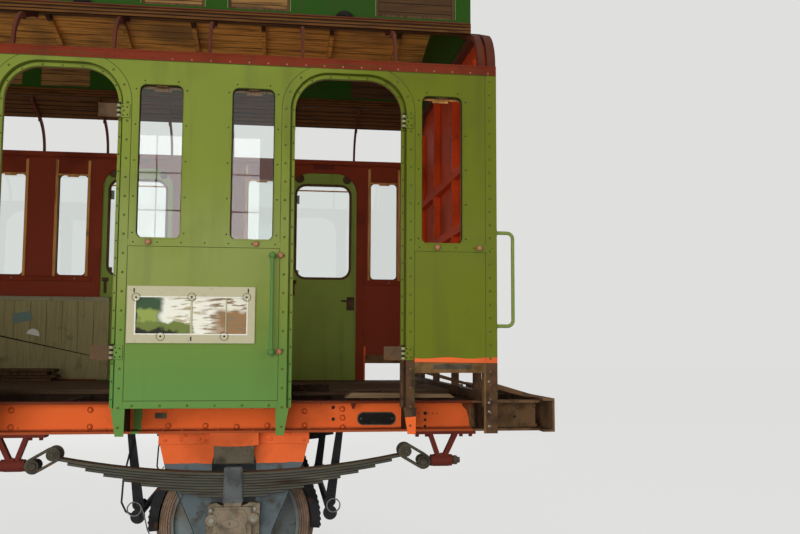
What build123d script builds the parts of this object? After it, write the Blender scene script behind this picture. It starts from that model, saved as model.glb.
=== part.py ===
"""Two-axle compartment coach with a clerestory, stripped for restoration.

+X runs along the coach, -Y is the side without doors, +Z is up.
The origin is on the floor under the middle of the coach, and the wheels stand on their flanges.
"""
from build123d import *
import os
from math import cos, radians, sin, sqrt

os.makedirs("parts", exist_ok=True)

# Driving dimensions, in millimetres
pitch = 1650                # from one compartment door to the next
compartments = 5
half_width = 1500           # outer face of a side wall
end_from_door = 895         # last door's centre to the end wall's outer face
rail = 28                   # rail head above the lowest point of the flanges

half_body = (compartments - 1) / 2 * pitch + end_from_door
door_centres = [(i - (compartments - 1) / 2) * pitch for i in range(compartments)]
sides = (-1, 1)

# Heights above the floor
solebar_bottom = rail + 1085
solebar_top = rail + 1272
panel_bottom = rail + 1251
strap_bottom = rail + 1097
window_bottom = rail + 2215
window_top = rail + 3111
door_head = rail + 3199
cantrail_bottom = rail + 3253
cantrail_top = rail + 3313
sill_bottom = rail + 3687
sill_top = rail + 3755
clerestory_top = rail + 4010
floor_top = solebar_top + 28
cut_panel_bottom = rail + 1527      # the last pier on each side, whose lower panel is cut away

# Side walls and door openings
wall = 60
door_half = 318
frame_half = 395
door_head_radius = 200
window_near = 438           # window edges, from a door's centre
window_far = 685
window_radius = 38
pane = 6
strap_near = 344
strap_far = 408
strap = 8
mid_wall = half_width - wall / 2


def block(x, y, z):
    """A box between the two values of x, of y and of z, in the part being built."""
    with Locations(((x[0] + x[1]) / 2, (y[0] + y[1]) / 2, (z[0] + z[1]) / 2)):
        return Box(abs(x[1] - x[0]), abs(y[1] - y[0]), abs(z[1] - z[0]))


def hole_block(x, y, z):
    """The same box, cut out of the part being built."""
    with Locations(((x[0] + x[1]) / 2, (y[0] + y[1]) / 2, (z[0] + z[1]) / 2)):
        return Box(abs(x[1] - x[0]), abs(y[1] - y[0]), abs(z[1] - z[0]), mode=Mode.SUBTRACT)


def wall_span(side, inner=half_width - wall, outer=half_width):
    """A wall's inner and outer face, as a pair of y values on the given side."""
    return (side * inner, side * outer)


def wall_plane(side, inner=half_width - wall, outer=half_width):
    """The plane to draw a wall's outline on, which extruding by outer - inner makes that wall."""
    return Plane.XZ.offset(inner if side < 0 else -outer)


def finish(built, name):
    built.part.label = name
    export_step(built.part, f"parts/{name}.step")


# Underframe: two solebars with their flanges outward, closed by a headstock at each end
web_outer = 1120
web = 12
flange = 95
flange_thick = 14
headstock_face = 4610
headstock_depth = 75
headstock_half = 1290
headstock_bottom = solebar_bottom - 2
headstock_top = solebar_top + 16
solebar_half = headstock_face - headstock_depth

with BuildPart() as solebars:
    for side in sides:
        block((-solebar_half, solebar_half), (side * (web_outer - web), side * web_outer),
              (solebar_bottom, solebar_top))
        for z in (solebar_bottom, solebar_top - flange_thick):
            block((-solebar_half, solebar_half), (side * web_outer, side * (web_outer + flange)),
                  (z, z + flange_thick))
finish(solebars, "solebars")

# Each headstock is a channel that opens inward, bored for two buffers and a draw hook
buffer_y = 875
buffer_z = rail + 1178
buffer_bolt = 11
buffer_spacing = 140
hook_radius = 45
headstock_web = 14
with BuildPart() as headstocks:
    for end in sides:
        face = end * headstock_face
        block((face - end * headstock_web, face), (-headstock_half, headstock_half),
              (headstock_bottom, headstock_top))
        for z in (headstock_bottom, headstock_top - flange_thick):
            block((face - end * headstock_depth, face - end * headstock_web),
                  (-headstock_half, headstock_half), (z, z + flange_thick))
        for y in (-buffer_y, buffer_y):
            for dy in (-buffer_spacing / 2, buffer_spacing / 2):
                for dz in (-buffer_spacing / 2, buffer_spacing / 2):
                    with Locations(Location((face, y + dy, buffer_z + dz), (0, 90, 0))):
                        Cylinder(buffer_bolt, 4 * headstock_web, mode=Mode.SUBTRACT)
        with Locations(Location((face, 0, buffer_z), (0, 90, 0))):
            Cylinder(hook_radius, 4 * headstock_web, mode=Mode.SUBTRACT)
finish(headstocks, "headstocks")

# Cross members lie between the solebars, at every door centre and partition
beam = 60
beam_bottom = solebar_bottom + 20
inner_web = web_outer - web
stringer_y = 380
stringer_half = 30
cross_spans = [(-inner_web, -stringer_y - stringer_half),
               (-stringer_y + stringer_half, stringer_y - stringer_half),
               (stringer_y + stringer_half, inner_web)]
cross_x = [k * pitch / 2 for k in range(-compartments, compartments + 1)] + [-1990, 1990]
with BuildPart() as cross_members:
    for x in cross_x:
        for start, stop in cross_spans:
            block((x - beam / 2, x + beam / 2), (start, stop), (beam_bottom, solebar_top))
finish(cross_members, "cross_members")

# Two stringers carry the draw gear from headstock to headstock
with BuildPart() as stringers:
    for side in sides:
        block((-solebar_half, solebar_half),
              (side * (stringer_y - stringer_half), side * (stringer_y + stringer_half)),
              (beam_bottom, solebar_top))
finish(stringers, "stringers")

# Side brackets reach from the solebar's flanges out to the wall, at each door post
bracket_thick = 10
bracket_x = [x + s * (strap_near + strap_far) / 2 for x in door_centres for s in sides]
bracket_x += [s * (half_body - 45) for s in sides]
flange_tip = web_outer + flange
with BuildPart() as side_brackets:
    for side in sides:
        for x in bracket_x:
            with BuildSketch(Plane.YZ.offset(x - bracket_thick / 2)):
                with BuildLine():
                    Polyline((side * web_outer, solebar_bottom + flange_thick),
                             (side * flange_tip, solebar_bottom + flange_thick),
                             (side * (half_width - strap), strap_bottom + 30),
                             (side * (half_width - strap), panel_bottom - 14),
                             (side * flange_tip, solebar_top - flange_thick),
                             (side * web_outer, solebar_top - flange_thick), close=True)
                make_face()
            extrude(amount=bracket_thick)
finish(side_brackets, "side_brackets")

# Floor boards run along the coach. Some are cut short, as the shell is being repaired.
# Each short board's number, counted from the near side, and the share of it that is left
board = 150
board_gap = 6
board_count = 18
short_boards = {0: 0.52, 1: 0.50, 2: 0.55, 3: 0.49, 4: 0.58, 5: 0.53, 6: 0.60, 13: 0.70, 14: 0.74}
board_reach = half_body - wall
with BuildPart() as floor_boards:
    for i in range(board_count):
        y = (i - (board_count - 1) / 2) * (board + board_gap)
        length = 2 * board_reach * short_boards.get(i, 1)
        block((-board_reach, -board_reach + length), (y - board / 2, y + board / 2), (solebar_top, floor_top))
finish(floor_boards, "floor_boards")

# Running gear
axle_x = 2652
axle_z = rail + 475
journal_y = 1150
axle_places = [-axle_x, axle_x]

# Axle guards: a plate with two legs that hold the axle box between them
guard_y = 1133
guard = 16
guard_top = solebar_bottom
guard_foot = rail + 298
leg_inner = 132
guard_outer = [(450, guard_top), (450, rail + 1050), (414, rail + 900), (347, rail + 755),
               (236, rail + 498), (215, guard_foot)]
arch_spring = rail + 890
with BuildPart() as axle_guards:
    for side in sides:
        for x in axle_places:
            with BuildSketch(wall_plane(side, guard_y - guard / 2, guard_y + guard / 2)):
                with BuildLine():
                    right = [(x + a, z) for a, z in guard_outer]
                    left = [(x - a, z) for a, z in reversed(guard_outer)]
                    Polyline(*right, (x + leg_inner, guard_foot), (x + leg_inner, arch_spring))
                    RadiusArc((x + leg_inner, arch_spring), (x - leg_inner, arch_spring), -leg_inner)
                    Polyline((x - leg_inner, arch_spring), (x - leg_inner, guard_foot), *left, right[0])
                make_face()
            extrude(amount=guard)
finish(axle_guards, "axle_guards")

# A keep bar joins the feet of each guard's two legs
keep_bar = 30
with BuildPart() as keep_bars:
    for side in sides:
        for x in axle_places:
            block((x - 236, x + 236), (side * (guard_y - guard / 2), side * (guard_y + guard / 2)),
                  (guard_foot - keep_bar, guard_foot))
finish(keep_bars, "keep_bars")

# Axle boxes, each bored from behind for the journal
journal = 60
journal_end = 1205
running_gap = 0.05
box_back = 1070
box_front = 1240
box_half = 110
box_top = rail + 655
box_bottom = rail + 310
ear_half = 128
ear_top = rail + 590
ear_bottom = rail + 360
lip = 34
lip_gap = 2
with BuildPart() as axle_boxes:
    for side in sides:
        for x in axle_places:
            block((x - box_half, x + box_half), (side * box_back, side * box_front), (box_bottom, box_top))
            block((x - ear_half, x + ear_half),
                  (side * (guard_y - guard / 2 - lip), side * (guard_y + guard / 2 + lip)),
                  (ear_bottom, ear_top))
            for s in sides:
                for a, b in ((guard_y - guard / 2 - lip, guard_y - guard / 2 - lip_gap),
                             (guard_y + guard / 2 + lip_gap, guard_y + guard / 2 + lip)):
                    block((x + s * ear_half, x + s * (ear_half + 28)), (side * a, side * b),
                          (ear_bottom + 30, ear_top))
            with Locations(Location((x, side * (box_back + journal_end) / 2, axle_z), (90, 0, 0))):
                Cylinder(journal + running_gap, journal_end - box_back + 10, mode=Mode.SUBTRACT)
finish(axle_boxes, "axle_boxes")

# Leaf springs stand on the boxes. The leaves are arcs about a point above, each shorter than the last
spring_y = 1192
spring_half = 42
leaf = 16
leaf_half_lengths = [1034, 950, 845, 740, 630, 520, 410, 300, 200]
eye = 28
eye_x = 1034
eye_z = rail + 970
pack_top = rail + 854
pack_bottom = pack_top - leaf * len(leaf_half_lengths)
rise = eye_z - eye + leaf - pack_top
leaf_radius = (eye_x ** 2 + rise ** 2) / (2 * rise)
with BuildPart() as springs:
    for side in sides:
        for x in axle_places:
            for i, half in enumerate(leaf_half_lengths):
                top = leaf_radius + leaf * i
                turn = half / leaf_radius
                corners = [(x + s * r * sin(turn), pack_top + leaf_radius - r * cos(turn))
                           for r, s in ((top, -1), (top, 1), (top + leaf, 1), (top + leaf, -1))]
                middle = pack_top - leaf * i
                with BuildSketch(wall_plane(side, spring_y - spring_half, spring_y + spring_half)):
                    with BuildLine():
                        ThreePointArc(corners[0], (x, middle), corners[1])
                        Line(corners[1], corners[2])
                        ThreePointArc(corners[2], (x, middle - leaf), corners[3])
                        Line(corners[3], corners[0])
                    make_face()
                extrude(amount=2 * spring_half)
            for s in sides:
                with Locations(Location((x + s * eye_x, side * spring_y, eye_z), (90, 0, 0))):
                    Cylinder(eye, 2 * spring_half)
finish(springs, "springs")

# A buckle holds each pack together and stands on its axle box
buckle_half = 55
buckle_wall = 12
buckle_bottom = rail + 680
buckle_top = rail + 878
buckle_reach = spring_half + buckle_wall
buckle_stem = 34
with BuildPart() as spring_buckles:
    for side in sides:
        for x in axle_places:
            block((x - buckle_half, x + buckle_half),
                  (side * (spring_y - buckle_reach), side * (spring_y + buckle_reach)),
                  (buckle_bottom, buckle_top))
            hole_block((x - buckle_half - 1, x + buckle_half + 1),
                       (side * (spring_y - spring_half), side * (spring_y + spring_half)),
                       (pack_bottom - 0.5, pack_top + 1))
            with Locations((x, side * spring_y, (box_top + buckle_bottom) / 2)):
                Cylinder(buckle_stem, buckle_bottom - box_top)
finish(spring_buckles, "spring_buckles")

# Bump stops under the solebars, over the buckles
stop_half = 118
stop_y = (1146, 1212)
stop_bottom = rail + 905
with BuildPart() as bump_stops:
    for side in sides:
        for x in axle_places:
            block((x - stop_half, x + stop_half), wall_span(side, *stop_y), (stop_bottom, solebar_bottom))
finish(bump_stops, "bump_stops")

# Shackles: two plates from each spring eye to a fork bolt, which ends in the bracket's barrel
fork_x = 1140
fork_z = rail + 908
shackle = 12
shackle_round = 32
barrel = 35
barrel_start = 1192
barrel_end = 1326
bolt = 18
with BuildPart() as spring_shackles:
    for side in sides:
        for x in axle_places:
            for s in sides:
                for near in (spring_y - spring_half - shackle, spring_y + spring_half):
                    with BuildSketch(wall_plane(side, near, near + shackle)):
                        for px, pz in ((eye_x, eye_z), (fork_x, fork_z)):
                            with Locations((x + s * px, pz)):
                                Circle(shackle_round)
                        make_hull()
                    extrude(amount=shackle)
                with Locations(Location((x + s * fork_x, side * spring_y, fork_z), (90, 0, 0))):
                    Cylinder(26, 2 * spring_half)
                for a, b in ((fork_x, barrel_start), (barrel_end, barrel_end + 46)):
                    with Locations(Location((x + s * (a + b) / 2, side * spring_y, fork_z), (0, 90, 0))):
                        Cylinder(bolt, b - a)
finish(spring_shackles, "spring_shackles")

# Spring brackets: a foot under the solebar, two legs in a V and a barrel
foot = 18
foot_start = 1084
foot_end = 1474
leg_y = (1168, 1214)
# Columns: where each leg starts and stops along the coach at its top, and at its foot on the barrel
legs = [(1178, 1206, 1228, 1256), (1330, 1362, 1262, 1292)]
with BuildPart() as spring_brackets:
    for side in sides:
        for x in axle_places:
            for s in sides:
                block((x + s * foot_start, x + s * foot_end), (side * 1122, side * leg_y[1]),
                      (solebar_bottom - foot, solebar_bottom))
                with Locations(Location((x + s * (barrel_start + barrel_end) / 2, side * spring_y, fork_z),
                                        (0, 90, 0))):
                    Cylinder(barrel, barrel_end - barrel_start)
                for a, b, c, d in legs:
                    with BuildSketch(wall_plane(side, *leg_y)):
                        with BuildLine():
                            Polyline((x + s * a, solebar_bottom - foot), (x + s * b, solebar_bottom - foot),
                                     (x + s * d, fork_z + barrel / 2), (x + s * c, fork_z + barrel / 2),
                                     close=True)
                        make_face()
                    extrude(amount=leg_y[1] - leg_y[0])
finish(spring_brackets, "spring_brackets")

# Wheelsets: an axle, two disc wheels pressed on it and their tyres
axle = 72
axle_shoulder = 850
dust_seat = 66
dust_seat_end = 1040
hub = 125
rim_inner = 385
tyre_inner = 420
tread = axle_z - rail
flange_radius = axle_z
disc_profile = [(665, axle), (665, hub), (738, hub), (738, rim_inner), (690, rim_inner), (690, tyre_inner),
                (805, tyre_inner), (805, rim_inner), (762, rim_inner), (762, hub), (845, hub), (845, axle)]
tyre_profile = [(680, tyre_inner), (680, flange_radius - 12), (690, flange_radius), (702, flange_radius),
                (714, tread + 12), (726, tread), (808, tread - 4), (815, tread - 10), (815, tyre_inner)]
for name, x in (("left", -axle_x), ("right", axle_x)):
    wheel_plane = Plane(origin=(x, 0, axle_z), x_dir=(0, 1, 0), z_dir=(1, 0, 0))
    axis = Axis((x, 0, axle_z), (0, 1, 0))
    with BuildPart() as axle_shaft:
        for radius, reach in ((axle, axle_shoulder), (dust_seat, dust_seat_end), (journal, journal_end)):
            with Locations(Location((x, 0, axle_z), (90, 0, 0))):
                Cylinder(radius, 2 * reach)
    finish(axle_shaft, f"{name}_axle")
    with BuildPart() as discs:
        for side in sides:
            with BuildSketch(wheel_plane):
                with BuildLine():
                    Polyline(*[(side * y, r) for y, r in disc_profile], close=True)
                make_face()
            revolve(axis=axis)
    finish(discs, f"{name}_wheel_discs")
    with BuildPart() as tyres:
        for side in sides:
            with BuildSketch(wheel_plane):
                with BuildLine():
                    Polyline(*[(side * y, r) for y, r in tyre_profile], close=True)
                make_face()
            revolve(axis=axis)
    finish(tyres, f"{name}_tyres")

# Brake gear: a block at each side of each wheel, on hangers joined by a beam across
block_inner = tread + 7
block_outer = tread + 62
# The outline's points: distance from the axle, degrees above its height
block_outline = [(block_inner, -4), (block_inner, 15), (block_inner, 34),
                 (block_outer, 34), (block_outer + 4, 15), (block_outer, -4)]
brake_pin = (600, rail + 612)
hanger_eye = 22
hanger_round = 32
hanger_top = (660, beam_bottom - hanger_eye)
hanger_y = (818, 832)
block_y = (728, 804)
with BuildPart() as brake_blocks:
    for side in sides:
        for x in axle_places:
            for s in sides:
                points = [(x + s * r * cos(radians(a)), axle_z + r * sin(radians(a)))
                          for r, a in block_outline]
                with BuildSketch(wall_plane(side, *block_y)):
                    with BuildLine():
                        ThreePointArc(points[0], points[1], points[2])
                        Line(points[2], points[3])
                        ThreePointArc(points[3], points[4], points[5])
                        Line(points[5], points[0])
                    make_face()
                extrude(amount=block_y[1] - block_y[0])
finish(brake_blocks, "brake_blocks")

with BuildPart() as brake_hangers:
    for side in sides:
        for x in axle_places:
            for s in sides:
                with BuildSketch(wall_plane(side, *hanger_y)):
                    for px, pz, r in ((*hanger_top, hanger_eye), (*brake_pin, hanger_round)):
                        with Locations((x + s * px, pz)):
                            Circle(r)
                    make_hull()
                extrude(amount=hanger_y[1] - hanger_y[0])
                with Locations(Location((x + s * (brake_pin[0] - 20), side * (block_y[0] + hanger_y[0]) / 2,
                                         brake_pin[1]), (90, 0, 0))):
                    Cylinder(20, hanger_y[0] - block_y[0])
finish(brake_hangers, "brake_hangers")

beam_radius = 22
beam_low = rail + 540
with BuildPart() as brake_beams:
    for x in axle_places:
        for s in sides:
            with Locations(Location((x + s * brake_pin[0], 0, beam_low), (90, 0, 0))):
                Cylinder(beam_radius, 2 * (hanger_y[0] - 1))
finish(brake_beams, "brake_beams")

# Side walls: piers between the door frames, each as thick as the whole wall, with its windows cut
window_mid = (window_near + window_far) / 2
window_z = (window_bottom + window_top) / 2
window_size = (window_far - window_near, window_top - window_bottom)

pier_edges = [-half_body] + [x + s * frame_half for x in door_centres for s in sides] + [half_body]
piers = list(zip(pier_edges[::2], pier_edges[1::2]))
for name, side in (("near_wall", -1), ("far_wall", 1)):
    with BuildPart() as side_wall:
        for i, (start, stop) in enumerate(piers):
            bottom = cut_panel_bottom if i == len(piers) - 1 else panel_bottom
            windows = []
            if i > 0:
                windows.append(door_centres[i - 1] + window_mid)
            if i < compartments:
                windows.append(door_centres[i] - window_mid)
            with BuildSketch(wall_plane(side)):
                with Locations(((start + stop) / 2, (bottom + cantrail_bottom) / 2)):
                    Rectangle(stop - start, cantrail_bottom - bottom)
                with Locations(*[(x, window_z) for x in windows]):
                    RectangleRounded(*window_size, window_radius, mode=Mode.SUBTRACT)
            extrude(amount=wall)
    finish(side_wall, name)

# Door frames: jambs and a rounded head, with a strap below each jamb down to the solebar
opening_height = door_head - panel_bottom + 600
for name, side in (("near_door_frames", -1), ("far_door_frames", 1)):
    with BuildPart() as frames:
        for x in door_centres:
            with BuildSketch(wall_plane(side)):
                with Locations((x, (panel_bottom + cantrail_bottom) / 2)):
                    Rectangle(2 * frame_half, cantrail_bottom - panel_bottom)
                with Locations((x, door_head - opening_height / 2)):
                    RectangleRounded(2 * door_half, opening_height, door_head_radius, mode=Mode.SUBTRACT)
            extrude(amount=wall)
            for s in sides:
                block((x + s * strap_near, x + s * strap_far), wall_span(side, half_width - strap),
                      (strap_bottom, panel_bottom))
    finish(frames, name)

# Where the last pier's panel is cut away, its rail and corner post stand bare
bare_rail_bottom = rail + 1451
corner_post = (half_body - 82, half_body)
with BuildPart() as bare_frame:
    for side in sides:
        block((door_centres[-1] + frame_half, half_body), wall_span(side), (bare_rail_bottom, cut_panel_bottom))
        block(corner_post, wall_span(side), (panel_bottom, bare_rail_bottom))
        block(corner_post, wall_span(side, half_width - strap), (strap_bottom, panel_bottom))
finish(bare_frame, "bare_frame")

with BuildPart() as cantrails:
    for side in sides:
        block((-half_body, half_body), wall_span(side), (cantrail_bottom, cantrail_top))
finish(cantrails, "cantrails")

# Window panes, held in the middle of the wall. The last window on the near side stands without one.
bare_window = (-1, door_centres[-1], 1)
with BuildPart() as window_panes:
    for side in sides:
        for x in door_centres:
            for s in sides:
                if (side, x, s) == bare_window:
                    continue
                with BuildSketch(wall_plane(side, mid_wall - pane / 2, mid_wall + pane / 2)):
                    with Locations((x + s * window_mid, window_z)):
                        RectangleRounded(*window_size, window_radius)
                extrude(amount=pane)
finish(window_panes, "window_panes")

# Far doors: leaves with rounded heads and windows, hinged on their outer faces
door_gap = 6
leaf_thick = 46
door_bottom = panel_bottom + 4
leaf_half = door_half - door_gap
leaf_top = door_head - door_gap
leaf_height = leaf_top - door_bottom
door_window = (506, 865)
door_window_z = rail + 2648
door_window_radius = 95
hinge_x = -door_half - 6
hinge_y = half_width + 11
knuckle = 9
hinge_heights = [rail + 1565, rail + 2256, rail + 2947]
hinge_leaf = 7
hinge_half = 40             # half the height of a hinge's leaf
knuckle_height = 26
leaf_on_door = 95
leaf_on_frame = 76
for i, x in enumerate(door_centres):
    with BuildPart() as door:
        with BuildSketch(wall_plane(1, half_width - leaf_thick)):
            with Locations((x, leaf_top - leaf_height)):
                RectangleRounded(2 * leaf_half, 2 * leaf_height, door_head_radius - door_gap)
            with Locations((x, door_bottom - leaf_height)):
                Rectangle(2 * leaf_half + 2, 2 * leaf_height, mode=Mode.SUBTRACT)
            with Locations((x, door_window_z)):
                RectangleRounded(*door_window, door_window_radius, mode=Mode.SUBTRACT)
        extrude(amount=leaf_thick)
        edge = x - leaf_half
        pin = x + hinge_x
        plate = wall_span(1, half_width, half_width + hinge_leaf)
        for z in hinge_heights:
            block((edge + 4, edge + leaf_on_door), plate, (z - hinge_half, z + hinge_half))
            block((pin, edge + 5), (plate[0] + 2, plate[1]), (z - knuckle_height / 2, z + knuckle_height / 2))
            with Locations((pin, hinge_y, z)):
                Cylinder(knuckle, knuckle_height)
    finish(door, f"far_door_{i + 1}")
    with BuildPart() as door_pane:
        with BuildSketch(wall_plane(1, half_width - 28, half_width - 22)):
            with Locations((x, door_window_z)):
                RectangleRounded(*door_window, door_window_radius)
        extrude(amount=pane)
    finish(door_pane, f"far_door_pane_{i + 1}")

# Hinge leaves left on the door frames: with knuckles on the far side, bare and folded on the near side
knuckle_slot = 14           # half the height left for the door's knuckle
near_pin = 10
near_plate = wall_span(-1, half_width, half_width + hinge_leaf)
folded_plate = wall_span(-1, half_width + 6, half_width + 14)
with BuildPart() as hinge_leaves:
    for x in door_centres:
        pin = x + hinge_x
        for z in hinge_heights:
            for low, high in ((-hinge_half, -knuckle_slot), (knuckle_slot, hinge_half)):
                block((pin - leaf_on_frame, pin), plate, (z + low, z + high))
                with Locations((pin, hinge_y, z + (low + high) / 2)):
                    Cylinder(knuckle, knuckle_height)
            block((pin - leaf_on_frame, pin - knuckle_slot), plate, (z - knuckle_slot, z + knuckle_slot))
        jamb = x + door_half
        for z in (hinge_heights[0], hinge_heights[-1]):
            with Locations((jamb + 8, -half_width - near_pin, z)):
                Cylinder(near_pin, 2 * hinge_half + 4)
            # The last doorway's upper hinge has lost its loose leaf
            if z == hinge_heights[0] or x < door_centres[-1]:
                block((jamb - 105, jamb + 4), folded_plate, (z - hinge_half, z + hinge_half))
            block((jamb + 12, jamb + 70), near_plate, (z - hinge_half, z + hinge_half))
finish(hinge_leaves, "hinge_leaves")

# End walls: a frame of posts and rails with sheet panels above and below a window band
end_inner = half_width - wall
end_thick = 55
end_sheet = 8
end_rail_heights = [solebar_top, rail + 1451, rail + 2400, rail + 2812]
end_rail = 60
end_post = 50
end_corner = 60
end_post_y = [-1090, -380, 380, 1090]
outer_post_top = rail + 3480

# The lower roof's section: an arc over the cantrail, then straight up to the clerestory's sill
eaves_radius = 280
eaves_turn = 72
roof_foot_y = half_width - 12
clerestory_half = 1010
sill_face = clerestory_half + 10
rib_tip = sill_face - 25        # the ribs reach this far in, under the sill
rib_depth = 34
rib_drop = rib_depth + 2        # a rib's depth, measured upright where it meets the sill
rib_width = 18


def eaves(side, inset):
    """Three points of the arc over the cantrail, from its foot up, inset by a distance."""
    r = eaves_radius - inset
    return [(side * (roof_foot_y - eaves_radius + r * cos(radians(a))), cantrail_top + r * sin(radians(a)))
            for a in (0, eaves_turn / 2, eaves_turn)]


# Columns: where each rib stands along the coach, and its width. Two broad ribs make each end's arch.
ribs = [(x + a, rib_width) for x in door_centres for a in (-280, 280)]
ribs += [((a + b) / 2, rib_width) for a, b in zip(door_centres, door_centres[1:])]
ribs += [(s * (half_body - back), width) for s in sides for back, width in ((26, 52), (90, 40))]
with BuildPart() as roof_ribs:
    for side in sides:
        outer = eaves(side, 0)
        inner = eaves(side, rib_depth)
        for x, width in ribs:
            with BuildSketch(Plane.YZ.offset(x - width / 2)):
                with BuildLine():
                    ThreePointArc(*outer)
                    Polyline(outer[2], (side * sill_face, sill_bottom), (side * rib_tip, sill_bottom),
                             (side * rib_tip, sill_bottom - rib_drop), (side * sill_face, sill_bottom - rib_drop),
                             inner[2])
                    ThreePointArc(*reversed(inner))
                    Line(inner[0], outer[0])
                make_face()
            extrude(amount=width)
finish(roof_ribs, "roof_ribs")

# The end walls fill the shell below the ribs and the clerestory's sills. Short rails lie between the posts.
frame_x = (half_body - end_thick, half_body - end_sheet)
# Columns: where each post starts and stops across the coach, and its top
end_posts = [(-end_inner, -end_inner + end_corner, cantrail_top)]
for y in end_post_y:
    top = outer_post_top if abs(y) > clerestory_half else sill_bottom - 20
    end_posts.append((y - end_post / 2, y + end_post / 2, top))
end_posts.append((end_inner - end_corner, end_inner, cantrail_top))
with BuildPart() as end_wall_posts:
    for end in sides:
        for start, stop, top in end_posts:
            block((end * frame_x[0], end * frame_x[1]), (start, stop), (solebar_top, top))
finish(end_wall_posts, "end_wall_posts")

with BuildPart() as end_wall_rails:
    for end in sides:
        for left, right in zip(end_posts, end_posts[1:]):
            for z in end_rail_heights:
                block((end * frame_x[0], end * frame_x[1]), (left[1], right[0]), (z, z + end_rail))
finish(end_wall_rails, "end_wall_rails")

upper_sheet = rail + 2812
lower_sheet = (rail + 1480, rail + 2460)
sheet_gap = 1
sheet_step = sill_bottom - rib_drop - 2 * sheet_gap     # the sheet steps round the ribs' tips
with BuildPart() as end_wall_panels:
    for end in sides:
        near = eaves(-1, rib_depth + sheet_gap)
        far = eaves(1, rib_depth + sheet_gap)
        with BuildSketch(Plane.YZ.offset(half_body - end_sheet if end > 0 else -half_body)):
            with BuildLine():
                Polyline(near[0], (-end_inner, cantrail_top), (-end_inner, upper_sheet),
                         (end_inner, upper_sheet), (end_inner, cantrail_top), far[0])
                ThreePointArc(*far)
                Polyline(far[2], (sill_face, sheet_step), (rib_tip - sheet_gap, sheet_step),
                         (rib_tip - sheet_gap, sill_bottom - 8), (sheet_gap - rib_tip, sill_bottom - 8),
                         (sheet_gap - rib_tip, sheet_step), (-sill_face, sheet_step), near[2])
                ThreePointArc(*reversed(near))
            make_face()
        extrude(amount=end_sheet)
        block((end * (half_body - end_sheet), end * half_body), (-end_inner, end_inner), lower_sheet)
finish(end_wall_panels, "end_wall_panels")

# A sheet closes the window band of each end wall
with BuildPart() as end_middle_sheets:
    for end in sides:
        block((end * (half_body - end_sheet), end * half_body), (-end_inner, end_inner),
              (lower_sheet[1] + sheet_gap, upper_sheet - sheet_gap))
finish(end_middle_sheets, "end_middle_sheets")

# Braces run down from the end walls' outer posts to the headstocks
brace = (1075, 1105)
brace_high = rail + 1400
brace_depth = 34
with BuildPart() as end_braces:
    for side in sides:
        for end in sides:
            with BuildSketch(wall_plane(side, *brace)):
                with BuildLine():
                    Polyline((end * (half_body - end_sheet), brace_high),
                             (end * (headstock_face - headstock_depth / 2), headstock_top),
                             (end * (headstock_face - headstock_depth - 60), headstock_top),
                             (end * (half_body - end_sheet), brace_high - brace_depth), close=True)
                make_face()
            extrude(amount=brace[1] - brace[0])
finish(end_braces, "end_braces")

# Clerestory: sills along the roof, walls of posts and panels, ends, carlines and a boarded roof
clerestory_wall = 40
clerestory_end = 4145
sill_width = 60
with BuildPart() as clerestory_sills:
    for side in sides:
        block((-clerestory_end, clerestory_end), (side * (sill_face - sill_width), side * sill_face),
              (sill_bottom, sill_top))
finish(clerestory_sills, "clerestory_sills")

# The lower roof's boards are left only beside the clerestory, where they lie on the ribs up to the sills
edge_boards_end = 4080
edge_boards_face = 1300
edge_boards_top = rail + 3649
edge_boards_gap = 1
arc_tip = eaves(1, 0)[2]
rib_slope = (sill_bottom - arc_tip[1]) / (arc_tip[0] - sill_face)
boards_foot = sill_bottom + edge_boards_gap
with BuildPart() as roof_edge_boards:
    for side in sides:
        with BuildSketch(Plane.YZ.offset(-edge_boards_end)):
            with BuildLine():
                Polyline((side * edge_boards_face, boards_foot - rib_slope * (edge_boards_face - sill_face)),
                         (side * edge_boards_face, edge_boards_top),
                         (side * (sill_face + edge_boards_gap), sill_top - 2),
                         (side * (sill_face + edge_boards_gap), boards_foot), close=True)
            make_face()
        extrude(amount=2 * edge_boards_end)
finish(roof_edge_boards, "roof_edge_boards")

light_near = 355
light_far = 751
light_bottom = sill_top + 20
light_top = clerestory_top - 55
end_light = (209, 738)
lights = [(x + s * (light_near + light_far) / 2, light_far - light_near) for x in door_centres for s in sides]
lights[0] = (door_centres[0] - sum(end_light) / 2, end_light[1] - end_light[0])
lights[-1] = (door_centres[-1] + sum(end_light) / 2, end_light[1] - end_light[0])
wall_edges = [-clerestory_end]
for x, width in sorted(lights):
    wall_edges += [x - width / 2, x + width / 2]
wall_edges.append(clerestory_end)
with BuildPart() as clerestory_walls:
    for side in sides:
        for start, stop in zip(wall_edges[::2], wall_edges[1::2]):
            block((start, stop), wall_span(side, clerestory_half - clerestory_wall, clerestory_half),
                  (sill_top, clerestory_top))
finish(clerestory_walls, "clerestory_walls")

with BuildPart() as clerestory_rails:
    for side in sides:
        for start, stop in zip(wall_edges[1::2], wall_edges[2::2]):
            for z in ((sill_top, light_bottom), (light_top, clerestory_top)):
                block((start, stop), wall_span(side, clerestory_half - clerestory_wall, clerestory_half), z)
finish(clerestory_rails, "clerestory_rails")

# Boards close the lights between the clerestory's posts
shutter = (clerestory_half - clerestory_wall + 8, clerestory_half - 16)
with BuildPart() as clerestory_shutters:
    for side in sides:
        for start, stop in zip(wall_edges[1::2], wall_edges[2::2]):
            block((start, stop), wall_span(side, *shutter), (light_bottom, light_top))
finish(clerestory_shutters, "clerestory_shutters")

# The clerestory's roof is an arc over both walls
roof_rise = 190
roof_half = 1070
roof_radius = (roof_half ** 2 + roof_rise ** 2) / (2 * roof_rise)
roof_thick = 24
roof_end = 4230


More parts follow.
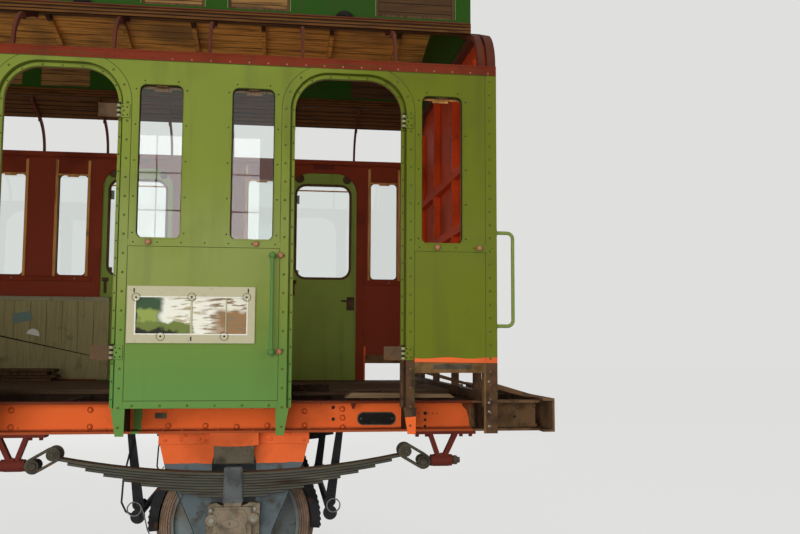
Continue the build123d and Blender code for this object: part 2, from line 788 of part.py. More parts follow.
def roof_arc(half, drop=0):
    """Three points of the roof's underside from one side of the middle to the other, lowered by a drop."""
    edge = clerestory_top + roof_rise - roof_radius + sqrt(roof_radius ** 2 - half ** 2)
    return [(-half, edge - drop), (0, clerestory_top + roof_rise - drop), (half, edge - drop)]


with BuildPart() as clerestory_roof:
    under = roof_arc(roof_half)
    over = roof_arc(roof_half, -roof_thick)
    with BuildSketch(Plane.YZ.offset(-roof_end)):
        with BuildLine():
            ThreePointArc(*under)
            Line(under[2], over[2])
            ThreePointArc(*reversed(over))
            Line(over[0], under[0])
        make_face()
    extrude(amount=2 * roof_end)
finish(clerestory_roof, "clerestory_roof")

wall_in = clerestory_half - clerestory_wall
carline = 34
carline_depth = 50
with BuildPart() as clerestory_carlines:
    over = roof_arc(wall_in)
    under = roof_arc(wall_in, carline_depth)
    for x in [k * pitch / 3 for k in range(-7, 8)]:
        with BuildSketch(Plane.YZ.offset(x - carline / 2)):
            with BuildLine():
                ThreePointArc(*over)
                Line(over[2], under[2])
                ThreePointArc(*reversed(under))
                Line(under[0], over[0])
            make_face()
        extrude(amount=carline)
finish(clerestory_carlines, "clerestory_carlines")

clerestory_end_thick = 30
sill_step = wall_in - 11        # the end board narrows here to pass between the sills
with BuildPart() as clerestory_ends:
    over = roof_arc(wall_in)
    for end in sides:
        start = clerestory_end - clerestory_end_thick if end > 0 else -clerestory_end
        with BuildSketch(Plane.YZ.offset(start)):
            with BuildLine():
                Polyline(over[2], (wall_in, sill_top), (sill_step, sill_top), (sill_step, sill_bottom - 6),
                         (-sill_step, sill_bottom - 6), (-sill_step, sill_top), (-wall_in, sill_top), over[0])
                ThreePointArc(*over)
            make_face()
        extrude(amount=clerestory_end_thick)
finish(clerestory_ends, "clerestory_ends")

# Low arched ventilators stand on the sills, over each door
vent_radius = 64
vent_depth = 34
vent_z = sill_top - 31
with BuildPart() as ventilators:
    for side in sides:
        for x in door_centres:
            with BuildSketch(wall_plane(side, clerestory_half, clerestory_half + vent_depth)):
                with Locations((x, vent_z)):
                    Circle(vent_radius)
                with Locations((x, sill_top - vent_radius)):
                    Rectangle(2 * vent_radius + 2, 2 * vent_radius, mode=Mode.SUBTRACT)
            extrude(amount=vent_depth)
finish(ventilators, "ventilators")

# Sign panel on the near pier before the last door, and the grab handles
sign_x = (2054, 2768)
sign_z = (rail + 1618, rail + 1941)
with BuildPart() as sign_board:
    block(sign_x, (-half_width - 18, -half_width), sign_z)
finish(sign_board, "sign_board")

handle_x = 438
handle_z = (rail + 1555, rail + 2140)
handle_radius = 11
handle_reach = 52
corner_z = (rail + 1718, rail + 2302)
corner_reach = 105
corner_y = half_width - 30
handle_places = [(x + side * handle_x, side) for side in sides for x in door_centres]
corner_places = [(end, side) for end in sides for side in sides]
with BuildPart() as handrails:
    for x, side in handle_places:
        with Locations((x, side * (half_width + handle_reach), sum(handle_z) / 2)):
            Cylinder(handle_radius, handle_z[1] - handle_z[0])
    for end, side in corner_places:
        with Locations((end * (half_body + corner_reach), side * corner_y, sum(corner_z) / 2)):
            Cylinder(handle_radius, corner_z[1] - corner_z[0])
finish(handrails, "handrails")

with BuildPart() as handrail_stubs:
    stub = handle_reach - handle_radius
    for x, side in handle_places:
        for z in (handle_z[0] + 20, handle_z[1] - 20):
            with Locations(Location((x, side * (half_width + stub / 2), z), (90, 0, 0))):
                Cylinder(handle_radius, stub)
    stub = corner_reach - handle_radius
    for end, side in corner_places:
        for z in (corner_z[0] + handle_radius, corner_z[1] - handle_radius):
            with Locations(Location((end * (half_body + stub / 2), side * corner_y, z), (0, 90, 0))):
                Cylinder(handle_radius, stub)
finish(handrail_stubs, "handrail_stubs")

# A boarded dado is left inside one far pier. It reaches past the edge of the next doorway
dado_x = (door_centres[2] + frame_half + 12, door_centres[3] - door_half + 105)
dado_top = rail + 1988
ledge = 36
with BuildPart() as dado_boards:
    block(dado_x, (end_inner - 18, end_inner), (floor_top + 10, dado_top))
    block(dado_x, (end_inner - 42, end_inner), (dado_top, dado_top + ledge))
finish(dado_boards, "dado_boards")
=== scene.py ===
"""Looks of the stripped passenger coach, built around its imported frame.

Metres. +X runs along the coach, -Y is the side without doors (the near side), +Z is up.
Details of a side are shaped for the near side, and mirrored in Y for the far side.
"""
from math import asin, cos, pi, radians, sin

import bmesh
import bpy
from mathutils import Matrix, Vector


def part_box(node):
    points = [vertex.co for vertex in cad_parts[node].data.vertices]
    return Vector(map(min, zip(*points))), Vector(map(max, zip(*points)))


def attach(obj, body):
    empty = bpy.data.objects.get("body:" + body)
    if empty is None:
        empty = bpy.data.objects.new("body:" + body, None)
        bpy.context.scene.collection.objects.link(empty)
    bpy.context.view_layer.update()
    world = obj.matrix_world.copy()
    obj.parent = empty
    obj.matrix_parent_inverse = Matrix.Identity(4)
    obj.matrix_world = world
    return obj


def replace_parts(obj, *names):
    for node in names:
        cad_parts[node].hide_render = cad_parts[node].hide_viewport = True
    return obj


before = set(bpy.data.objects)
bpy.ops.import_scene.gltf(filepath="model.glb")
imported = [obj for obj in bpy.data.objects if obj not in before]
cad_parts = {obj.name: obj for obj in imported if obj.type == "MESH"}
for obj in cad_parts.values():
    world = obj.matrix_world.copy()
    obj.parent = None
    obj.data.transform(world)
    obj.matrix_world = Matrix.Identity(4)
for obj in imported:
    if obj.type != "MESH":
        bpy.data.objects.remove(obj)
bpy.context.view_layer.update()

# Sizes read from the frame
wall_low, wall_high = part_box("far_wall")
face = wall_high.y                          # outer face of a side wall
inside = wall_low.y                         # its inner face
half_body = wall_high.x
panel_foot = wall_low.z
cantrail_foot, cantrail_head = (corner.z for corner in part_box("cantrails"))
doors = [sum(corner.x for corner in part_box(f"far_door_pane_{i}")) / 2 for i in range(1, 6)]
solebar_foot, solebar_head = (corner.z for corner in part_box("solebars"))
floor_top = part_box("floor_boards")[1].z
sill_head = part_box("clerestory_sills")[1].z
clerestory_end, clerestory_face, clerestory_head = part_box("clerestory_walls")[1]
edge_end, edge_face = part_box("roof_edge_boards")[1].xy
headstock_foot, headstock_head = (corner.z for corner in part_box("headstocks"))
headstock_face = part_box("headstocks")[1].x
dado_low, dado_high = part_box("dado_boards")

# Driving sizes shared with the frame
rail = 0.028                                # rail head above the floor
edge_foot, edge_head = rail + 3.579, rail + 3.649     # the roof edge boards' front
web_face = 1.120                            # outer face of a solebar's web
flange_thick = 0.014
door_half = 0.318                           # half a door opening
surround_reach = 0.077                      # from the opening's edge to the surround's outer edge
strip_face = face + 0.002                   # the surround's flat strip
lip_face = face - 0.025                     # and its recessed lip
strap_width = 0.069                         # a corner strap's width
head_radius = 0.200
door_head = rail + 3.199
arch_spring = door_head - head_radius
arc_x = door_half - head_radius
strap_foot = rail + 1.097
window_near, window_far = 0.438, 0.685      # a window's edges, from its door's centre
window_foot, window_head = rail + 2.215, rail + 3.111
window_radius = 0.038
belt = rail + 2.170                         # lower edge of the upper sheets
cut_panel_foot = rail + 1.527
view_x = (2.104, 2.720)                     # the sign's glossy face with its painted reflection, inside its rim
view_z = (rail + 1.672, rail + 1.876)
axle_x = 2.652
wheel_z = rail + 0.475                      # a wheel's centre
guard_face = 1.141
box_front = 1.240
buckle_front = 1.246
eye_x, eye_z = 1.034, rail + 0.970          # a spring's eye, from its axle
fork_x, fork_z = 1.140, rail + 0.908        # a shackle's lower pin
pack_top = rail + 0.854
spring_radius = 5.19
leaf = 0.016
leaf_inner, leaf_outer = 1.454, 1.500       # faces of a far door's leaf
door_window = (0.506, 0.865, 0.095)         # width, height and corner radius
door_window_z = rail + 2.648
hinge_heights = (rail + 1.565, rail + 2.947)
window_mid = (window_near + window_far) / 2
window_half = (window_far - window_near) / 2
window_z = (window_foot + window_head) / 2
window_centres = [x + s * window_mid for x in doors for s in (-1, 1)]
light_foot, light_head = sill_head + 0.020, clerestory_head - 0.055
mirror_y = Matrix.Scale(-1, 4, Vector((0, 1, 0)))
mirror_x = Matrix.Scale(-1, 4, Vector((1, 0, 0)))
as_shaped = Matrix.Identity(4)
near_and_far = (as_shaped, mirror_y)
four_corners = (as_shaped, mirror_y, mirror_x, mirror_x @ mirror_y)
by_axles = [corner @ Matrix.Translation((axle_x, 0, 0)) for corner in four_corners]
faces_up = Matrix.Rotation(radians(-90), 4, "X")       # turns a near-side fitting to point up
faces_end = Matrix.Rotation(radians(90), 4, "Z")       # to point along +X
faces_in = Matrix.Rotation(radians(-90), 4, "Z")       # and along -X


class Finish:
    """A material being mixed. Patterns read the object's own metres, and heights are in metres."""

    def __init__(self, name, colour, roughness=0.6, metallic=0.0, specular=0.13):
        self.material = bpy.data.materials.new(name)
        self.material.use_nodes = True
        self.tree = self.material.node_tree
        self.shader = self.tree.nodes["Principled BSDF"]
        self.shader.inputs["Metallic"].default_value = metallic
        self.shader.inputs["Specular IOR Level"].default_value = specular
        self.colour = (*colour, 1.0)
        self.roughness = roughness
        self.height = None
        self.place = self.tree.nodes.new("ShaderNodeTexCoord").outputs["Object"]
        self.split = self.tree.nodes.new("ShaderNodeSeparateXYZ")
        self.tree.links.new(self.place, self.split.inputs[0])

    def plug(self, socket, value):
        if isinstance(value, bpy.types.NodeSocket):
            self.tree.links.new(value, socket)
        else:
            socket.default_value = value

    def along(self, axis):
        return self.split.outputs[axis]

    def off_middle(self, axis):
        """Distance from the coach's middle, along an axis."""
        return self.maths("ABSOLUTE", self.along(axis))

    def facing(self, axis):
        """How squarely the surface faces along an axis."""
        split = self.tree.nodes.new("ShaderNodeSeparateXYZ")
        self.tree.links.new(self.place.node.outputs["Normal"], split.inputs[0])
        return split.outputs[axis]

    def maths(self, operation, a, b=0.0):
        node = self.tree.nodes.new("ShaderNodeMath")
        node.operation = operation
        self.plug(node.inputs[0], a)
        self.plug(node.inputs[1], b)
        return node.outputs[0]

    def stretched(self, stretch):
        """The object's metres, each axis counted at its own rate."""
        node = self.tree.nodes.new("ShaderNodeMapping")
        node.inputs["Scale"].default_value = stretch
        self.tree.links.new(self.place, node.inputs["Vector"])
        return node.outputs[0]

    def noise(self, scale, detail=3.0, stretch=None, distortion=0.0):
        node = self.tree.nodes.new("ShaderNodeTexNoise")
        node.inputs["Scale"].default_value = scale
        node.inputs["Detail"].default_value = detail
        node.inputs["Distortion"].default_value = distortion
        self.tree.links.new(self.stretched(stretch) if stretch else self.place, node.inputs["Vector"])
        return node.outputs["Fac"]

    def cells(self, scale, stretch=None):
        node = self.tree.nodes.new("ShaderNodeTexVoronoi")
        node.inputs["Scale"].default_value = scale
        self.tree.links.new(self.stretched(stretch) if stretch else self.place, node.inputs["Vector"])
        return node.outputs["Distance"]

    def fade(self, value, zero, one):
        """Nought where the value is at or past zero, one where it is at or past one."""
        node = self.tree.nodes.new("ShaderNodeMapRange")
        node.interpolation_type = "SMOOTHSTEP"
        low, high = (zero, one) if zero < one else (one, zero)
        self.plug(node.inputs["Value"], value)
        node.inputs["From Min"].default_value = low
        node.inputs["From Max"].default_value = high
        node.inputs["To Min"].default_value = 0.0 if zero < one else 1.0
        node.inputs["To Max"].default_value = 1.0 if zero < one else 0.0
        return node.outputs["Result"]

    def patches(self, scale, detail, zero, one, stretch=None):
        """Noise cut into patches."""
        return self.fade(self.noise(scale, detail, stretch), zero, one)

    def ragged(self, axis, amount, scale=30.0):
        """A place along an axis, moved to and fro by noise, so that an edge on it is ragged."""
        wander = self.times(self.maths("SUBTRACT", self.noise(scale, 4.0), 0.5), amount)
        return self.maths("ADD", self.along(axis), wander)

    def between(self, value, low, high, soft=0.002):
        return self.times(self.fade(value, low - soft, low + soft),
                          self.fade(value, high + soft, high - soft))

    def times(self, a, b):
        return self.maths("MULTIPLY", a, b)

    def lines(self, value, step, width):
        """One on a thin line at each multiple of the step, nought between."""
        return self.fade(self.maths("PINGPONG", value, step / 2), width, width / 3)

    def lay(self, colour, mask, strength=1.0):
        """Lays another colour over what is there, where the mask says and as strongly as asked."""
        node = self.tree.nodes.new("ShaderNodeMix")
        node.data_type = "RGBA"
        self.plug(node.inputs[0], self.times(mask, strength))
        self.plug(node.inputs[6], self.colour)
        node.inputs[7].default_value = (*colour, 1.0)
        self.colour = node.outputs[2]
        return self

    def rub(self, roughness, mask):
        """Changes the roughness where the mask says."""
        node = self.tree.nodes.new("ShaderNodeMix")
        self.plug(node.inputs[0], mask)
        self.plug(node.inputs[2], self.roughness)
        node.inputs[3].default_value = roughness
        self.roughness = node.outputs[0]
        return self

    def emboss(self, pattern, depth):
        raised = self.times(pattern, depth)
        self.height = raised if self.height is None else self.maths("ADD", self.height, raised)
        return self

    def done(self):
        """The finished material."""
        self.plug(self.shader.inputs["Base Color"], self.colour)
        self.plug(self.shader.inputs["Roughness"], self.roughness)
        if self.height is not None:
            bump = self.tree.nodes.new("ShaderNodeBump")
            bump.inputs["Distance"].default_value = 1.0
            self.tree.links.new(self.height, bump.inputs["Height"])
            self.tree.links.new(bump.outputs[0], self.shader.inputs["Normal"])
        return self.material


# Colours, as linear red, green and blue
olive = (0.182, 0.224, 0.032)
dark_olive = (0.118, 0.140, 0.007)
pale_leaf = (0.240, 0.284, 0.084)
leaf_green = (0.113, 0.234, 0.052)
grime = (0.045, 0.040, 0.022)
orange = (0.800, 0.135, 0.028)
bright_orange = (0.790, 0.140, 0.036)
oxblood = (0.225, 0.036, 0.014)
rust = (0.090, 0.046, 0.022)
dark_rust = (0.038, 0.021, 0.012)
bright_rust = (0.240, 0.085, 0.026)
soot = (0.010, 0.009, 0.008)
steel_grey = (0.190, 0.225, 0.222)
pine = (0.600, 0.280, 0.085)
timber = (0.110, 0.060, 0.030)
cream = (0.480, 0.440, 0.285)


def shade(colour, share):
    return tuple(part * share for part in colour)


def weather(paint, amount=1.0):
    """Faint dirt, streaks and ripples, as on any painted sheet that has stood for years."""
    streaks = paint.patches(7.0, 5.0, 0.50, 0.76, (1, 1, 0.08))
    paint.lay(grime, streaks, 0.26 * amount)
    blotches = paint.patches(3.2, 6.0, 0.50, 0.72)
    paint.lay(grime, blotches, 0.12 * amount)
    specks = paint.patches(90.0, 2.0, 0.70, 0.78)
    paint.lay(grime, specks, 0.35 * amount)
    paint.rub(0.62, paint.noise(7.0, 4.0))
    paint.emboss(paint.noise(2.2, 1.0), 0.0030)
    paint.emboss(paint.noise(320.0, 2.0), 0.00012)
    return paint


def rusted(name, base=rust, roughness=0.85):
    """Bare iron under brown rust, with darker and brighter patches."""
    iron = Finish(name, base, roughness)
    iron.lay(shade(base, 0.45), iron.patches(9.0, 5.0, 0.42, 0.70))
    iron.lay(bright_rust, iron.patches(24.0, 5.0, 0.58, 0.74), 0.35)
    iron.lay(grime, iron.patches(60.0, 3.0, 0.60, 0.74))
    iron.emboss(iron.noise(120.0, 4.0), 0.0008)
    iron.emboss(iron.cells(70.0), 0.0004)
    return iron


def body_paint():
    """Olive over the sheets with painted light and shade: paler at window height, greener towards the foot
    and darker towards the ends; red primer on the inner face.
    """
    paint = Finish("body_paint", olive, 0.42)
    from_middle = paint.off_middle("X")
    height = paint.ragged("Z", 0.30, 1.4)
    # Painted light: paler at window height
    paint.lay(pale_leaf, paint.between(height, rail + 1.80, rail + 2.45, 0.30), 0.75)
    paint.lay(shade(olive, 1.12), paint.patches(1.1, 3.0, 0.45, 0.68))
    # Painted light: a cooler green towards the foot
    paint.lay(leaf_green, paint.times(paint.fade(height, rail + 2.00, rail + 1.35),
                                      paint.fade(from_middle, 3.45, 3.10)))
    # Painted shade: darker towards the ends
    paint.lay(dark_olive, paint.fade(from_middle, 2.60, 3.80), 0.85)
    weather(paint)
    depth = paint.off_middle("Y")
    paint.lay(oxblood, paint.fade(depth, inside + 0.008, inside + 0.006))
    jamb_foot = paint.times(paint.between(paint.along("X"), doors[-1] + 0.30, doors[-1] + 0.40),
                            paint.fade(paint.ragged("Z", 0.05), rail + 1.62, rail + 1.58))
    paint.lay(orange, paint.times(jamb_foot, paint.fade(paint.along("Y"), inside - 0.10, inside - 0.05)))
    bare_corner = paint.times(paint.fade(paint.along("Y"), 0.0, -1.0),
                              paint.fade(paint.along("X"), doors[-1] + 0.10, doors[-1] + 0.20))
    cut = paint.ragged("Z", 0.020, 25.0)
    bare = paint.times(bare_corner, paint.fade(cut, cut_panel_foot + 0.001, cut_panel_foot - 0.003))
    paint.lay(rust, bare)
    paint.lay(dark_rust, paint.times(bare, paint.patches(12.0, 5.0, 0.45, 0.65)))
    strap_end = paint.times(bare_corner, paint.fade(paint.along("X"), 3.92, 3.90))
    paint.lay(orange, paint.times(strap_end, paint.fade(cut, rail + 1.197, rail + 1.193)))
    return paint


def primer(name, colour, beneath=rust, patchy=0.5):
    """Matt primer, with what is beneath it coming through in patches."""
    paint = Finish(name, colour, 0.62)
    paint.lay(shade(colour, 0.62), paint.patches(3.0, 5.0, 0.45, 0.75))
    paint.lay(beneath, paint.patches(14.0, 6.0, 0.60, 0.72), patchy)
    paint.emboss(paint.noise(180.0, 3.0), 0.0003)
    return paint


def inner_paint():
    """Dark red primer on the end walls, over brown rust where the panels are off."""
    paint = primer("inner_primer", (0.520, 0.052, 0.010), (0.180, 0.030, 0.010), 0.45)
    bare = paint.fade(paint.ragged("Z", 0.04, 20.0), rail + 1.50, rail + 1.48)
    paint.lay(rust, bare)
    paint.lay(dark_rust, paint.times(bare, paint.patches(10.0, 5.0, 0.45, 0.68)))
    return paint


def lay_grain(boards, dark, stretch=(0.06, 1, 1), full=0.72):
    """Dark grain along the boards, which also roughens them."""
    grain = boards.noise(55.0, 5.0, stretch=stretch, distortion=0.6)
    boards.lay(dark, boards.fade(grain, 0.42, full))
    boards.emboss(grain, 0.001)


def wood(name, base, dark, grain_axis="X", board_axis="", board=0.1):
    """Wood with grain along one axis, and a dark seam between boards along another."""
    stretch = {"X": (0.06, 1, 1), "Z": (1, 1, 0.06)}[grain_axis]
    boards = Finish(name, base, 0.75)
    lay_grain(boards, dark, stretch)
    boards.lay(shade(base, 1.4), boards.patches(6.0, 3.0, 0.50, 0.75, stretch), 0.6)
    boards.lay(grime, boards.patches(8.0, 5.0, 0.58, 0.78), 0.5)
    if board_axis:
        seams = boards.lines(boards.along(board_axis), board, 0.0035)
        boards.lay(shade(dark, 0.25), seams)
        boards.emboss(seams, -0.003)
    return boards


def shutter_wood():
    """Boards that fill the lights: golden along the middle, dark brown by the ends."""
    boards = Finish("shutter_wood", (0.300, 0.160, 0.052), 0.75)
    lay_grain(boards, (0.120, 0.062, 0.026))
    boards.lay((0.050, 0.026, 0.014), boards.fade(boards.off_middle("X"), 2.9, 3.5), 0.85)
    boards.lay((0.015, 0.009, 0.005), boards.lines(boards.along("Z"), 0.062, 0.004))
    return boards


def plain(name, colour, roughness=0.5, metallic=0.0, worn=(0.05, 0.04, 0.03)):
    """A small painted or metal fitting, with wear."""
    coat = Finish(name, colour, roughness, metallic)
    coat.lay(worn, coat.patches(40.0, 4.0, 0.55, 0.75), 0.5)
    coat.rub(roughness + 0.2, coat.noise(60.0, 3.0))
    coat.emboss(coat.noise(200.0, 2.0), 0.0002)
    return coat


def solebar_paint():
    """Orange primer as far as the painter got, and rust beyond."""
    iron = rusted("solebar_primer", (0.165, 0.092, 0.044))
    primer_end = 4.105                      # from the coach's middle
    under_flange = solebar_head - flange_thick
    height = iron.along("Z")
    corner_drop = iron.times(iron.fade(height, solebar_head - 0.075, solebar_head - 0.025), 0.030)
    slant = iron.times(iron.maths("SUBTRACT", height, solebar_foot + 0.03), 0.16)
    wander = iron.times(iron.maths("SUBTRACT", iron.noise(22.0, 4.0), 0.5), 0.016)
    edge = iron.maths("ADD", iron.off_middle("X"), corner_drop)
    edge = iron.maths("ADD", iron.maths("ADD", edge, slant), wander)
    # The orange stops just under the upper flange: the brown strip left below the flange is a painted shadow
    # of it
    painted = iron.times(iron.fade(edge, primer_end + 0.002, primer_end - 0.002),
                         iron.fade(iron.ragged("Z", 0.006, 15.0), under_flange - 0.004, under_flange - 0.008))
    iron.lay((0.150, 0.036, 0.016), iron.fade(iron.off_middle("X"), 4.11, 4.10))
    iron.lay(orange, painted)
    iron.lay(shade(orange, 0.72), iron.times(painted, iron.patches(4.0, 5.0, 0.48, 0.78)))
    iron.lay(bright_orange, iron.times(painted, iron.patches(7.0, 3.0, 0.55, 0.80)))
    iron.lay(rust, iron.times(painted, iron.patches(22.0, 6.0, 0.68, 0.76)), 0.6)
    # Darker along the web's foot, just above the lower flange
    dark_band = iron.fade(iron.ragged("Z", 0.012, 12.0), solebar_foot + 0.030, solebar_foot + 0.014)
    iron.lay((0.20, 0.055, 0.022), iron.times(painted, dark_band), 0.7)
    # Wall paint that ran over the near solebar
    overlap = iron.between(iron.ragged("X", 0.02), 2.050, 2.100, 0.004)
    iron.lay(leaf_green, iron.times(overlap, iron.fade(iron.along("Y"), -1.0, -1.1)))
    iron.rub(0.55, painted)
    return iron


def guard_paint():
    """Orange primer that ends in a ragged edge, over grey steel."""
    iron = Finish("guard_primer", (0.105, 0.128, 0.135), 0.7)
    iron.lay((0.060, 0.056, 0.045), iron.patches(12.0, 5.0, 0.48, 0.75))
    iron.lay(dark_rust, iron.patches(30.0, 5.0, 0.62, 0.75))
    painted = iron.fade(iron.ragged("Z", 0.030, 12.0), rail + 0.899, rail + 0.903)
    iron.lay(bright_orange, painted)
    iron.lay(shade(bright_orange, 0.74), iron.times(painted, iron.patches(5.0, 5.0, 0.45, 0.75)))
    iron.emboss(iron.noise(150.0, 3.0), 0.0004)
    return iron


def spring_steel():
    """Dirty leaves, one on another, with streaks of rust along them, painted shade between the leaves and a
    painted highlight along the top.
    """
    iron = Finish("spring_steel", (0.074, 0.072, 0.056), 0.75)
    from_axle = iron.maths("SUBTRACT", iron.off_middle("X"), axle_x)
    camber = iron.times(iron.times(from_axle, from_axle), 0.5 / spring_radius)
    into_pack = iron.maths("SUBTRACT", iron.maths("ADD", camber, pack_top), iron.along("Z"))
    iron.lay((0.120, 0.105, 0.068), iron.patches(60.0, 4.0, 0.52, 0.72, (0.06, 1, 1)), 0.8)
    iron.lay(dark_rust, iron.patches(26.0, 5.0, 0.50, 0.72, (0.10, 1, 1)))
    # Painted shade in the gaps between the leaves
    gaps = iron.lines(into_pack, leaf, 0.0030)
    iron.lay((0.016, 0.014, 0.010), gaps, 0.9)
    # Painted highlight along the top of the pack
    iron.lay((0.170, 0.115, 0.060), iron.fade(into_pack, 0.004, 0.001), 0.6)
    iron.emboss(gaps, -0.002)
    iron.emboss(iron.noise(90.0, 4.0, stretch=(0.2, 1, 1)), 0.0006)
    return iron


def rivet_paint():
    """Green darkened on the rivets as painted shade, and rust on those below the cut sheet."""
    paint = Finish("dark_rivet", (0.098, 0.122, 0.026), 0.45)
    paint.lay((0.050, 0.060, 0.015), paint.patches(40.0, 4.0, 0.50, 0.72), 0.6)
    below = paint.times(paint.fade(paint.along("Z"), cut_panel_foot - 0.010, cut_panel_foot - 0.014),
                        paint.fade(paint.along("X"), doors[-1] + 0.30, doors[-1] + 0.32))
    paint.lay((0.150, 0.085, 0.045), paint.times(below, paint.fade(paint.along("Y"), 0.0, -1.0)))
    paint.emboss(paint.noise(200.0, 2.0), 0.0002)
    return paint


def tyre_iron():
    """Rusty rings, as the lathe and the rails have left them."""
    iron = rusted("wheel_tyre", (0.290, 0.195, 0.135))
    aside = iron.maths("SUBTRACT", iron.off_middle("X"), axle_x)
    above = iron.maths("SUBTRACT", iron.along("Z"), wheel_z)
    reach = iron.maths("SQRT", iron.maths("ADD", iron.times(aside, aside), iron.times(above, above)))
    rings = iron.lines(reach, 0.0145, 0.0020)
    iron.lay((0.060, 0.034, 0.022), rings, 0.8)
    iron.lay((0.120, 0.066, 0.042), iron.lines(reach, 0.0047, 0.0012), 0.5)
    iron.emboss(rings, -0.0015)
    return iron


def roof_boards():
    """Boards of a lit golden tone with painted shade along the middle, under tarred canvas."""
    # Painted light: the base is the golden of boards in light
    boards = Finish("roof_wood", (0.800, 0.350, 0.075), 0.75)
    lay_grain(boards, (0.300, 0.120, 0.030), full=0.70)
    boards.lay((0.190, 0.105, 0.045), boards.patches(1.6, 4.0, 0.45, 0.70), 0.8)
    from_middle = boards.maths("ABSOLUTE", boards.ragged("Y", 0.04, 3.0))
    # Painted shade along the middle
    boards.lay((0.060, 0.032, 0.016), boards.fade(from_middle, 0.44, 0.36))
    seams = boards.lines(boards.along("Y"), 0.095, 0.004)
    boards.lay((0.022, 0.012, 0.006), seams)
    boards.emboss(seams, -0.003)
    canvas = boards.fade(boards.facing("Z"), 0.30, 0.45)
    boards.lay((0.070, 0.072, 0.068), canvas)
    boards.lay((0.110, 0.098, 0.076), boards.times(canvas, boards.patches(2.4, 6.0, 0.46, 0.66)))
    boards.lay((0.030, 0.028, 0.026), boards.times(canvas, boards.lines(boards.along("X"), 1.10, 0.012)))
    return boards


def wheel_paint():
    """Grey-green paint under brake dust and oil."""
    coat = Finish("wheel_paint", steel_grey, 0.55)
    coat.lay((0.150, 0.120, 0.080), coat.patches(4.0, 5.0, 0.42, 0.70))
    coat.lay(dark_rust, coat.patches(18.0, 5.0, 0.60, 0.76), 0.8)
    coat.emboss(coat.noise(90.0, 3.0), 0.0004)
    return coat


def clear_glass():
    """A thin clear pane."""
    material = bpy.data.materials.new("window_glass")
    material.use_nodes = True
    shader = material.node_tree.nodes["Principled BSDF"]
    shader.inputs["Base Color"].default_value = (0.90, 0.95, 0.93, 1.0)
    shader.inputs["Transmission Weight"].default_value = 1.0
    shader.inputs["Roughness"].default_value = 0.0
    shader.inputs["IOR"].default_value = 1.50
    return material


def sign_painted_reflection():
    """A painted reflection in the sign's glossy face: soft bands of green, white and brown under varnish,
    with no words or figures.
    """
    left, low = view_x[0], view_z[0]
    card = Finish("sign_painted_reflection", (0.80, 0.78, 0.66), 0.16)
    across = card.ragged("X", 0.16, 12.0)
    up = card.ragged("Z", 0.09, 14.0)
    streaks = card.patches(75.0, 4.0, 0.50, 0.60, (0.16, 1, 1))
    card.lay((0.30, 0.17, 0.075), card.fade(across, left + 0.40, left + 0.50))
    card.lay((0.76, 0.73, 0.60), card.times(card.fade(across, left + 0.38, left + 0.48),
                                            card.fade(up, low + 0.115, low + 0.150)))
    card.lay((0.240, 0.170, 0.095), card.times(streaks, card.fade(across, left + 0.33, left + 0.44)))
    card.lay((0.420, 0.350, 0.200), card.times(streaks, card.between(across, left + 0.20, left + 0.36, 0.03)))
    card.lay((0.045, 0.085, 0.040), card.fade(across, left + 0.17, left + 0.11))
    card.lay((0.270, 0.330, 0.075), card.times(card.between(across, left + 0.015, left + 0.125, 0.010),
                                               card.between(up, low + 0.050, low + 0.135, 0.012)))
    card.lay((0.150, 0.190, 0.045), card.times(card.fade(across, left + 0.34, left + 0.27),
                                               card.fade(up, low + 0.075, low + 0.055)))
    card.lay((0.028, 0.030, 0.018), card.times(card.fade(up, low + 0.030, low + 0.014),
                                               card.fade(across, left + 0.26, left + 0.20)))
    return card


